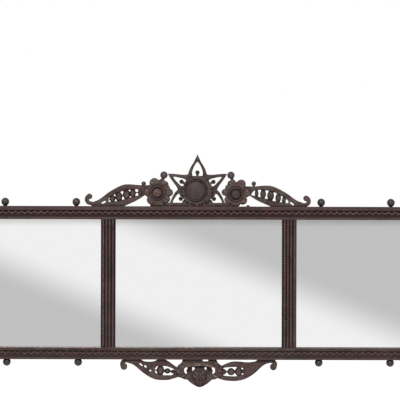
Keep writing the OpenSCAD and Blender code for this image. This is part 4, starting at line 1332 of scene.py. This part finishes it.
@dataclass
class TurnedBalls:
    """The balls along both rails, and the stub of one that broke off."""

    radius: float = 13 * MM
    top_rise: float = 13.8 * MM
    bottom_drop: float = 10.3 * MM
    top_at: dict[str, float] = field(default_factory=lambda: {
        "far_left": -633.5 * MM, "left": -401 * MM, "right": 400 * MM, "far_right": 628 * MM})
    bottom_at: dict[str, float] = field(default_factory=lambda: {
        "far_left": -627 * MM, "left": -393.5 * MM, "right": 393.5 * MM, "far_right": 627 * MM})
    y: float = -17 * MM

    def model(self, name: str, rise: float, start: float, foot: Sequence[Pair]) -> bpy.types.Object:
        """Turns a ball, which starts at an angle from straight down, on its foot on z = 0."""
        ball = arc(self.radius, rise, start, 180, 22)
        return turned(name, [(0.0, foot[0][1]), *foot, *ball], 36)

    def build(self) -> None:
        """Turns the balls and sets them in their places."""
        top = self.model("ball_on_foot", self.top_rise, 26, [
            (6.6 * MM, -1 * MM), (7.0 * MM, 0.2 * MM), (7.0 * MM, 1.0 * MM), (6.4 * MM, 1.5 * MM)])
        seat = math.degrees(math.acos(self.bottom_drop / self.radius))
        low = self.model("ball_on_seat", self.bottom_drop, seat, [
            (6.5 * MM, -0.8 * MM), (7.2 * MM, -0.2 * MM)])
        upright, hung = Matrix.Identity(4), Matrix.Rotation(math.pi, 4, "X")
        for row, model, places, z, turn in (
                ("top", top, self.top_at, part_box("top_rail")[1].z, upright),
                ("bottom", low, self.bottom_at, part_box("bottom_rail")[0].z, hung)):
            for place, x in places.items():
                node = f"{row}_ball_{place}"
                ball = copied(model, "turned_" + node, Matrix.Translation((x, self.y, z)) @ turn)
                hand_in(ball, Palette.TURNED, node)
        for model in (top, low):
            bpy.data.objects.remove(model)
        hand_in(softened("lost_ball_stub", "broken_ball_stub", 0.4 * MM), Palette.TURNED, "lost_ball_stub")


@dataclass
class Crest:
    """The pierced crest: star, hub, boss, rosettes and wings."""

    x: float = -5 * MM
    back: float = 8 * MM
    thick: float = 16 * MM
    hub_rise: float = 50.5 * MM
    hub_thick: float = 8 * MM
    rosette_at: float = 127.5 * MM
    rosette_rise: float = 43.7 * MM
    rosette_r: float = 48 * MM
    crown_angle: float = 107
    crown_r: float = 12.25 * MM
    crown_gap: float = 0.8 * MM
    boss_r: float = 29 * MM
    boss_rise: float = 7 * MM
    boss_shift: Pair = (-5 * MM, 1.5 * MM)
    stamen_at: float = 60 * MM
    stamen_r: float = 7.3 * MM
    stalk_h: float = 10 * MM
    stalk_in: float = 15 * MM
    stamen_axes: tuple[float, ...] = (90, 29.5, 150, -25.5, -154.5)
    ring_shift: dict[Side, Pair] = field(default_factory=lambda: {
        Side.LEFT: (-3 * MM, 0.0), Side.RIGHT: (-2 * MM, -4.5 * MM)})
    lobes: dict[Side, tuple[float, ...]] = field(default_factory=lambda: {
        Side.LEFT: (4, 68, 118, 150, 178, 218, 266, 315),
        Side.RIGHT: (4, 62, 116, 146, 176, 220, 266, 312)})
    windows: dict[Side, tuple[Triple, ...]] = field(default_factory=lambda: {
        Side.LEFT: ((0.045, 0.55, 0), (0.11, 0.63, 0.12), (0.22, 0.6, 0.165), (0.33, 0.535, 0.185),
                    (0.44, 0.455, 0.19), (0.53, 0.365, 0.15), (0.61, 0.287, 0.09), (0.637, 0.25, 0)),
        Side.RIGHT: ((0.045, 0.55, 0), (0.11, 0.64, 0.13), (0.22, 0.61, 0.18), (0.33, 0.545, 0.205),
                     (0.44, 0.45, 0.2), (0.53, 0.36, 0.155), (0.63, 0.245, 0.075), (0.65, 0.2, 0))})
    wing_size: dict[Side, Pair] = field(default_factory=lambda: {
        Side.LEFT: (202 * MM, 71.5 * MM), Side.RIGHT: (205 * MM, 68.5 * MM)})
    wing_beads: dict[Side, tuple[Pair, ...]] = field(default_factory=lambda: {
        Side.LEFT: ((0.111, 5.8), (0.226, 8.4), (0.329, 10.8), (0.453, 10.2), (0.555, 7.6)),
        Side.RIGHT: ((0.139, 5.6), (0.242, 9.2), (0.362, 10.8), (0.483, 8.8), (0.574, 6.2))})
    bead_swell: dict[Side, float] = field(default_factory=lambda: {
        Side.LEFT: 1.6 * MM, Side.RIGHT: 0.8 * MM})
    pearl_at: dict[Side, Pair] = field(default_factory=lambda: {
        Side.LEFT: (10.3 * MM, 65.3 * MM), Side.RIGHT: (19 * MM, 66.3 * MM)})
    pearl_r: float = 7.5 * MM
    dome_finish: dict[Side, Finish] = field(default_factory=lambda: {
        Side.LEFT: Palette.RUDDY, Side.RIGHT: Palette.BOSS})

    @property
    def face(self) -> float:
        """The place of the boards' face along Y."""
        return -self.back - self.thick

    @property
    def foot(self) -> float:
        """The height of the top rail's upper edge."""
        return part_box("top_rail")[1].z

    def star(self) -> None:
        """Carves the star, its hub, boss and stamens."""
        middle = (self.x, self.foot + self.hub_rise)
        front = self.face - self.hub_thick
        StarCarving("crest_star", "carved_star", self.face, -self.back, Palette.STAR, middle=middle,
                    edge_r=3.4 * MM, edge_drop=2.4 * MM).build()
        HubCarving("crest_hub", "carved_hub", front, self.face, Palette.STAR, middle=middle,
                   voxel=1.0 * MM, edge_r=4.5 * MM, edge_drop=3.5 * MM, boss=self.boss_shift).build()
        self.boss(Vector((middle[0] + self.boss_shift[0], front, middle[1] + self.boss_shift[1])))
        self.stamens(Vector((middle[0], self.face - self.hub_thick / 2, middle[1])))

    def boss(self, where: Vector) -> None:
        """Turns the boss, a smooth low dome inside a thin rim.

        Args:
            where: The middle of its seat on the hub.
        """
        r, rim, under, top = self.boss_r, 1.2 * MM, -2 * MM, self.boss_rise - 0.4 * MM
        dome = [(r * share, rim + (top - rim) * (1 - (share / 0.92) ** 2.4))
                for share in (0.9, 0.84, 0.76, 0.66, 0.55, 0.43, 0.3, 0.16)]
        boss = turned("turned_boss", [(0.0, under), (r, under), (r, rim / 2), (r - rim, 1.4 * MM),
                                      (r - 2.2 * MM, rim), *dome, (0.0, top)], 72)
        boss.data.transform(frame_at(where, FORWARD))
        hand_in(boss, Palette.BOSS, "crest_boss")

    def stamens(self, where: Vector) -> None:
        """Makes the five stamens round the hub, with dished buds on waisted stalks.

        Args:
            where: The star's middle, at the stamens' depth.
        """
        bud = turned("stamen", [
            (self.stamen_r * across, self.stamen_r * up) for across, up in (
                (0.0, 0.28), (0.28, 0.3), (0.36, 0.5), (0.5, 0.62), (0.72, 0.62), (0.9, 0.42),
                (0.98, 0.1), (0.93, -0.35), (0.65, -0.62), (0.0, -0.68))], 24)
        stalk = turned("stalk", [(0.0, 0.0), (5.4 * MM, 0.0), (4.2 * MM, 0.4 * self.stalk_h),
                                 (4.4 * MM, self.stalk_h), (0.0, self.stalk_h)], 16)
        parts = []
        for axis in self.stamen_axes:
            a = math.radians(axis)
            way = Vector((math.cos(a), 0, math.sin(a)))
            parts.append(copied(bud, "bud", frame_at(where + self.stamen_at * way, FORWARD)))
            parts.append(copied(stalk, "stem", frame_at(where + (self.stamen_at - self.stalk_in) * way, way)))
        for model in (bud, stalk):
            bpy.data.objects.remove(model)
        hand_in(joined("curled_stamens", parts), Palette.TURNED, "crest_stamens")

    def rosettes(self) -> None:
        """Carves the rosettes, eases their domes and turns their balls."""
        r = self.crown_r
        ball = turned("crown", [(0.0, -r - 3 * MM), (4.0 * MM, -r - 2.6 * MM), (5.4 * MM, -r + 0.2 * MM),
                                *arc(r, 0.0, 27, 180, 20)], 32)
        for side in Side:
            middle = (self.x + side.value * self.rosette_at, self.foot + self.rosette_rise)
            node = f"{side.word}_rosette"
            RosetteCarving(node, "carved_" + node, self.face, -self.back, middle=middle, side=side,
                           lobes=self.lobes[side], edge_r=5 * MM, edge_drop=3.6 * MM,
                           ring=self.ring_shift[side]).build()
            dome = softened(node + "_dome", f"turned_{side.word}_dome", 0.6 * MM)
            hand_in(dome, self.dome_finish[side], node + "_dome")
            a = math.radians(self.crown_angle)
            out = Vector((side.value * math.cos(a), 0, math.sin(a)))
            seat = Vector((middle[0], (self.face - self.back) / 2, middle[1]))
            where = seat + (self.rosette_r + self.crown_gap + r) * out
            crown = copied(ball, f"turned_{side.word}_crown_ball", frame_at(where, out))
            hand_in(crown, Palette.CROWN, node + "_ball")
        bpy.data.objects.remove(ball)

    def wings(self) -> None:
        """Carves the wings and sets their pearls."""
        root = self.rosette_at + self.rosette_r - 10 * MM
        pearl = turned("pearl", [(0.0, -14 * MM), (3.6 * MM, -14 * MM), (3.4 * MM, -7 * MM),
                                 *arc(self.pearl_r, 0.0, 28, 180, 16)], 24)
        for side in Side:
            length, height = self.wing_size[side]
            shares, middles, halves = (list(column) for column in zip(*self.windows[side]))
            beads = tuple(
                (side.value * (root + share * length), float(np.interp(share, shares, middles)) * height,
                 half * MM, float(np.interp(share, shares, halves)) * height + 2 * MM)
                for share, half in self.wing_beads[side])
            WingCarving(f"{side.word}_crest_wing", f"carved_{side.word}_wing", self.face, -self.back,
                        middle=(self.x, self.foot), beads=beads, hatch=side.value,
                        swell=self.bead_swell[side]).build()
            x, z = self.pearl_at[side]
            where = Vector((self.x + side.value * (root + x), -self.back - self.thick / 2,
                            self.foot + z + self.pearl_r + 1.2 * MM))
            placed = copied(pearl, f"turned_{side.word}_pearl", Matrix.Translation(where))
            hand_in(placed, Palette.TURNED, f"{side.word}_wing_pearl")
        bpy.data.objects.remove(pearl)

    def build(self) -> None:
        """Makes the whole crest."""
        self.star()
        self.rosettes()
        self.wings()


@dataclass
class Apron:
    """The carved apron: flower, bud and two wings."""

    x: float = 3 * MM
    back: float = 9 * MM
    thick: float = 14 * MM
    bud_thick: float = 9 * MM
    half_w: float = 76 * MM
    bead_swell: float = 2.0 * MM
    wing_size: dict[Side, Pair] = field(default_factory=lambda: {
        Side.LEFT: (189 * MM, 68.5 * MM), Side.RIGHT: (182 * MM, 71 * MM)})
    beads: dict[Side, tuple[Bead, ...]] = field(default_factory=lambda: {
        Side.LEFT: ((0.1, 0.597, 5, 5.5), (0.192, 0.568, 8.2, 8.6), (0.314, 0.543, 11, 15)),
        Side.RIGHT: ((0.063, 0.577, 7.8, 8.4), (0.197, 0.573, 10.6, 11.6), (0.333, 0.569, 10.4, 14),
                     (0.415, 0.551, 5, 6))})

    def build(self) -> None:
        """Carves the apron."""
        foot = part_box("bottom_rail")[0].z
        face = -self.back - self.thick
        FlowerCarving("apron_flower", "carved_flower", face, -self.back, middle=(self.x, foot)).build()
        BudCarving("apron_bud", "carved_bud", face - self.bud_thick, face, middle=(self.x, foot),
                   voxel=0.9 * MM, edge_r=8 * MM, edge_drop=6 * MM).build()
        root = self.half_w - 8 * MM
        for side in Side:
            length, drop = self.wing_size[side]
            beads = tuple((side.value * (root + share * length), -deep * drop, w * MM, h * MM)
                          for share, deep, w, h in self.beads[side])
            WingCarving(f"{side.word}_apron_wing", f"carved_{side.word}_apron_wing", face, -self.back,
                        middle=(self.x, foot), beads=beads, hatch=-side.value,
                        swell=self.bead_swell).build()


@dataclass
class Hangers:
    """The strap hangers behind the stiles, their screws and their swinging rings."""

    head_r: float = 3.2 * MM
    head_h: float = 1.8 * MM
    slot_w: float = 0.8 * MM
    slot_d: float = 0.7 * MM
    shank_r: float = 1.5 * MM
    shank_l: float = 3 * MM
    strap_t: float = 1.5 * MM

    def screw(self) -> bpy.types.Object:
        """Turns a screw with a domed, slotted head, standing out along Z.

        Returns:
            The model.
        """
        r, h, shank, end = self.head_r, self.head_h, self.shank_r, -self.shank_l
        screw = turned("screw", [(0.0, end), (shank, end), (shank, 0.0), (r, 0.0), (r, 0.5 * MM),
                                 (r * 0.86, h * 0.72), (r * 0.5, h * 0.95), (0.0, h)], 28)
        bpy.ops.object.select_all(action="DESELECT")
        bpy.ops.mesh.primitive_cube_add(size=1)
        cutter = bpy.context.object
        slot = Matrix.Diagonal((3 * r, self.slot_w, 2 * self.slot_d, 1))
        cutter.data.transform(Matrix.Translation((0, 0, h)) @ slot)
        apply(screw, "BOOLEAN", operation="DIFFERENCE", object=cutter, solver="EXACT")
        bpy.data.objects.remove(cutter)
        return screw

    def build(self) -> None:
        """Makes the hangers' pieces."""
        screw = self.screw()
        low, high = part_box("hanger_screws")
        xs = (low.x + self.head_r, high.x - self.head_r)
        zs = (low.z + self.head_r, high.z - self.head_r)
        parts = []
        for i, (x, z) in enumerate((x, z) for x in xs for z in zs):
            driven = Matrix.Rotation(0.7 * i + 0.4, 4, "Z")
            seat = frame_at(Vector((x, self.strap_t, z)), -FORWARD)
            parts.append(copied(screw, "screw_copy", seat @ driven))
        bpy.data.objects.remove(screw)
        hand_in(joined("slotted_screws", parts), Palette.STEEL, "hanger_screws")
        for side in Side:
            node = f"{side.word}_hanger_strap"
            hand_in(softened(node, "folded_" + node, 0.25 * MM), Palette.BRASS, node)
            node = f"{side.word}_hanger_ring"
            ring = node_copy(node, "bent_" + node)
            smooth(ring, 50)
            hand_in(ring, Palette.BRASS, node, f"{side.word}_ring")


# --- The studio -------------------------------------------------------------


@dataclass(frozen=True)
class Lamp:
    """A soft square lamp that points at the mirror."""

    name: str
    where: Triple
    size: float
    watts: float
    aim: Triple = (0.0, 0.0, 0.25)

    def hang(self) -> None:
        """Hangs the lamp in its place."""
        data = bpy.data.lights.new(self.name, "AREA")
        data.shape = "SQUARE"
        data.size = self.size
        data.energy = self.watts
        obj = bpy.data.objects.new(self.name, data)
        bpy.context.scene.collection.objects.link(obj)
        obj.matrix_world = frame_at(Vector(self.where), Vector(self.where) - Vector(self.aim))


@dataclass
class Studio:
    """The camera, the lamps, the pale floor and the card that the panes reflect.

    The photograph's own places are in pixels: across and down give the frame's middle and lower
    edge, and the fields that start with band give the soft slanting band in the panes.
    """

    pixel: float = 3.2595 * MM
    pixels: int = 400
    across: float = 198.9
    down: float = 359.8
    distance: float = 4.5
    face: float = 34 * MM
    glass: float = 14 * MM
    sensor: float = 36.0
    roll: float = 0.17
    world: float = 0.2
    lamps: tuple[Lamp, ...] = (Lamp("key", (-0.7, -3.9, 2.9), 1.3, 180),
                               Lamp("fill", (2.4, -3.4, 1.2), 1.6, 36))
    floor_z: float = -1.1
    floor_half: float = 14.0
    floor_glow: float = 0.84
    card_gap: float = 0.2
    card_half: float = 2.0
    card_low: float = -1.05
    card_high: float = 1.2
    card_dim: float = 0.565
    card_bright: float = 0.93
    band_slope: float = 0.42
    band_zero: float = 276.4
    band_rise: Pair = (143, 191)
    band_fall: Pair = (286, 238)
    fade_across: Pair = (1.6, 1.95)
    fade_up: Pair = (0.5, 1.15)
    fade_down: Pair = (-0.65, -1.0)

    @property
    def eye(self) -> Vector:
        """The camera's place.

        Returns:
            The place.
        """
        x = (self.pixels / 2 - self.across) * self.pixel
        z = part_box("bottom_rail")[0].z + (self.down - self.pixels / 2) * self.pixel
        return Vector((x, -self.distance, z))

    def camera(self) -> None:
        """Sets the camera up straight in front, as the photograph was taken."""
        data = bpy.data.cameras.new("view")
        data.sensor_width = self.sensor
        data.lens = self.sensor * (self.distance - self.face) / (self.pixel * self.pixels)
        data.clip_end = 60
        obj = bpy.data.objects.new("view", data)
        bpy.context.scene.collection.objects.link(obj)
        obj.matrix_world = (Matrix.Translation(self.eye) @ Matrix.Rotation(math.pi / 2, 4, "X") @
                            Matrix.Rotation(math.radians(self.roll), 4, "Z"))
        bpy.context.scene.camera = obj

    def seen(self, bench: Bench) -> bpy.types.NodeSocket:
        """Tells where the camera looks, also by a reflection or through a clear thing.

        Args:
            bench: The bench on a tree.

        Returns:
            1 there and 0 elsewhere.
        """
        path = bench.add("LightPath").outputs
        total = bench.sum("ADD", path["Is Camera Ray"], path["Is Glossy Ray"])
        return bench.sum("ADD", total, path["Is Transmission Ray"], clamp=True)

    def light(self) -> None:
        """Sets the world and the lamps."""
        world = bpy.data.worlds.new("studio")
        bpy.context.scene.world = world
        world.use_nodes = True
        bench = Bench(world.node_tree)
        strength = bench.spread(self.seen(bench), 0, 1, self.world, 1)
        back = bench.add("Background", {"Color": (1, 1, 1, 1), "Strength": strength})
        bench.add("OutputWorld", {"Surface": back.outputs[0]})
        for lamp in self.lamps:
            lamp.hang()

    def flat(self, name: str, corners: Sequence[Triple]) -> bpy.types.Object:
        """Lays a flat stage piece.

        Args:
            name: Its name.
            corners: Its four corners, in order round it.

        Returns:
            The stage piece.
        """
        obj = sheet(name, 2, 2)
        put_points(obj.data, np.array([corners[0], corners[1], corners[3], corners[2]]))
        return obj

    def floor(self) -> None:
        """Lays the pale floor, which keeps the mirror's shadow."""
        z, far = self.floor_z, self.floor_half
        obj = self.flat("floor", [(-far, -far, z), (far, -far, z), (far, far, z), (-far, far, z)])
        mat, bench = new_material("pale floor")
        grey = bench.spread(bench.noise(bench.along(), 3, detail=2), 0.3, 0.7, 0.90, 0.93)
        colour = bench.add("CombineXYZ", {0: grey, 1: grey, 2: grey}).outputs[0]
        matt = bench.add("BsdfDiffuse", {"Color": colour})
        strength = bench.sum("MULTIPLY", self.seen(bench), self.floor_glow)
        glow = bench.add("Emission", {"Color": (1, 1, 1, 1), "Strength": strength})
        both = bench.add("AddShader", {0: matt.outputs[0], 1: glow.outputs[0]})
        bench.add("OutputMaterial", {"Surface": both.outputs[0]})
        obj.data.materials.append(mat)

    def card(self) -> None:
        """Stands a glowing card behind the camera that lights nothing and shows only in reflections, a
        painted reflection of the soft slanting band in the panes.
        """
        y, far = -self.distance - self.card_gap, self.card_half
        obj = self.flat("card", [(-far, y, self.card_low), (far, y, self.card_low),
                                 (far, y, self.card_high), (-far, y, self.card_high)])
        # The card is a painted reflection: it glows for reflected rays only and lights nothing.
        for kind in ("camera", "diffuse", "shadow", "transmission", "volume_scatter"):
            setattr(obj, "visible_" + kind, False)
        mat, bench = new_material("banded card")
        place = bench.add("SeparateXYZ", {0: bench.add("TexCoord").outputs["Object"]}).outputs
        eye = self.eye
        reach = (2 * self.distance + self.card_gap - 2 * self.glass) / (self.distance - self.glass)
        x = bench.sum("MULTIPLY_ADD", place["X"], 1 / reach, eye.x - eye.x / reach)
        z = bench.sum("MULTIPLY_ADD", place["Z"], 1 / reach, eye.z - eye.z / reach)
        level = bench.sum("MULTIPLY_ADD", x, self.band_slope, z)
        start = self.band_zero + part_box("bottom_rail")[0].z / self.pixel
        slant = bench.sum("MULTIPLY_ADD", level, -1 / self.pixel, start)
        band = bench.sum("MULTIPLY", bench.spread(slant, *self.band_rise),
                         bench.spread(slant, *self.band_fall))
        strength = bench.sum("MULTIPLY_ADD", band, self.card_bright - self.card_dim, self.card_dim)
        fade = bench.spread(bench.sum("ABSOLUTE", place["X"]), *self.fade_across)
        for ends in (self.fade_up, self.fade_down):
            fade = bench.sum("MAXIMUM", fade, bench.spread(place["Z"], *ends))
        strength = bench.sum("MAXIMUM", strength, fade)
        glow = bench.add("Emission", {"Color": (1, 1, 1, 1), "Strength": strength})
        bench.add("OutputMaterial", {"Surface": glow.outputs[0]})
        obj.data.materials.append(mat)

    def build(self) -> None:
        """Sets the studio up."""
        bpy.context.scene.view_settings.view_transform = "Standard"
        self.camera()
        self.light()
        self.floor()
        self.card()


def main() -> None:
    """Builds the mirror round its frame."""
    logging.basicConfig(level=logging.INFO, format="%(name)s: %(message)s")
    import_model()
    for maker in (Studio(), Framing(), Glazing(), TurnedBalls(), Crest(), Apron(), Hangers()):
        LOG.info("making the %s", type(maker).__name__.lower())
        maker.build()


if __name__ == "__main__":
    main()
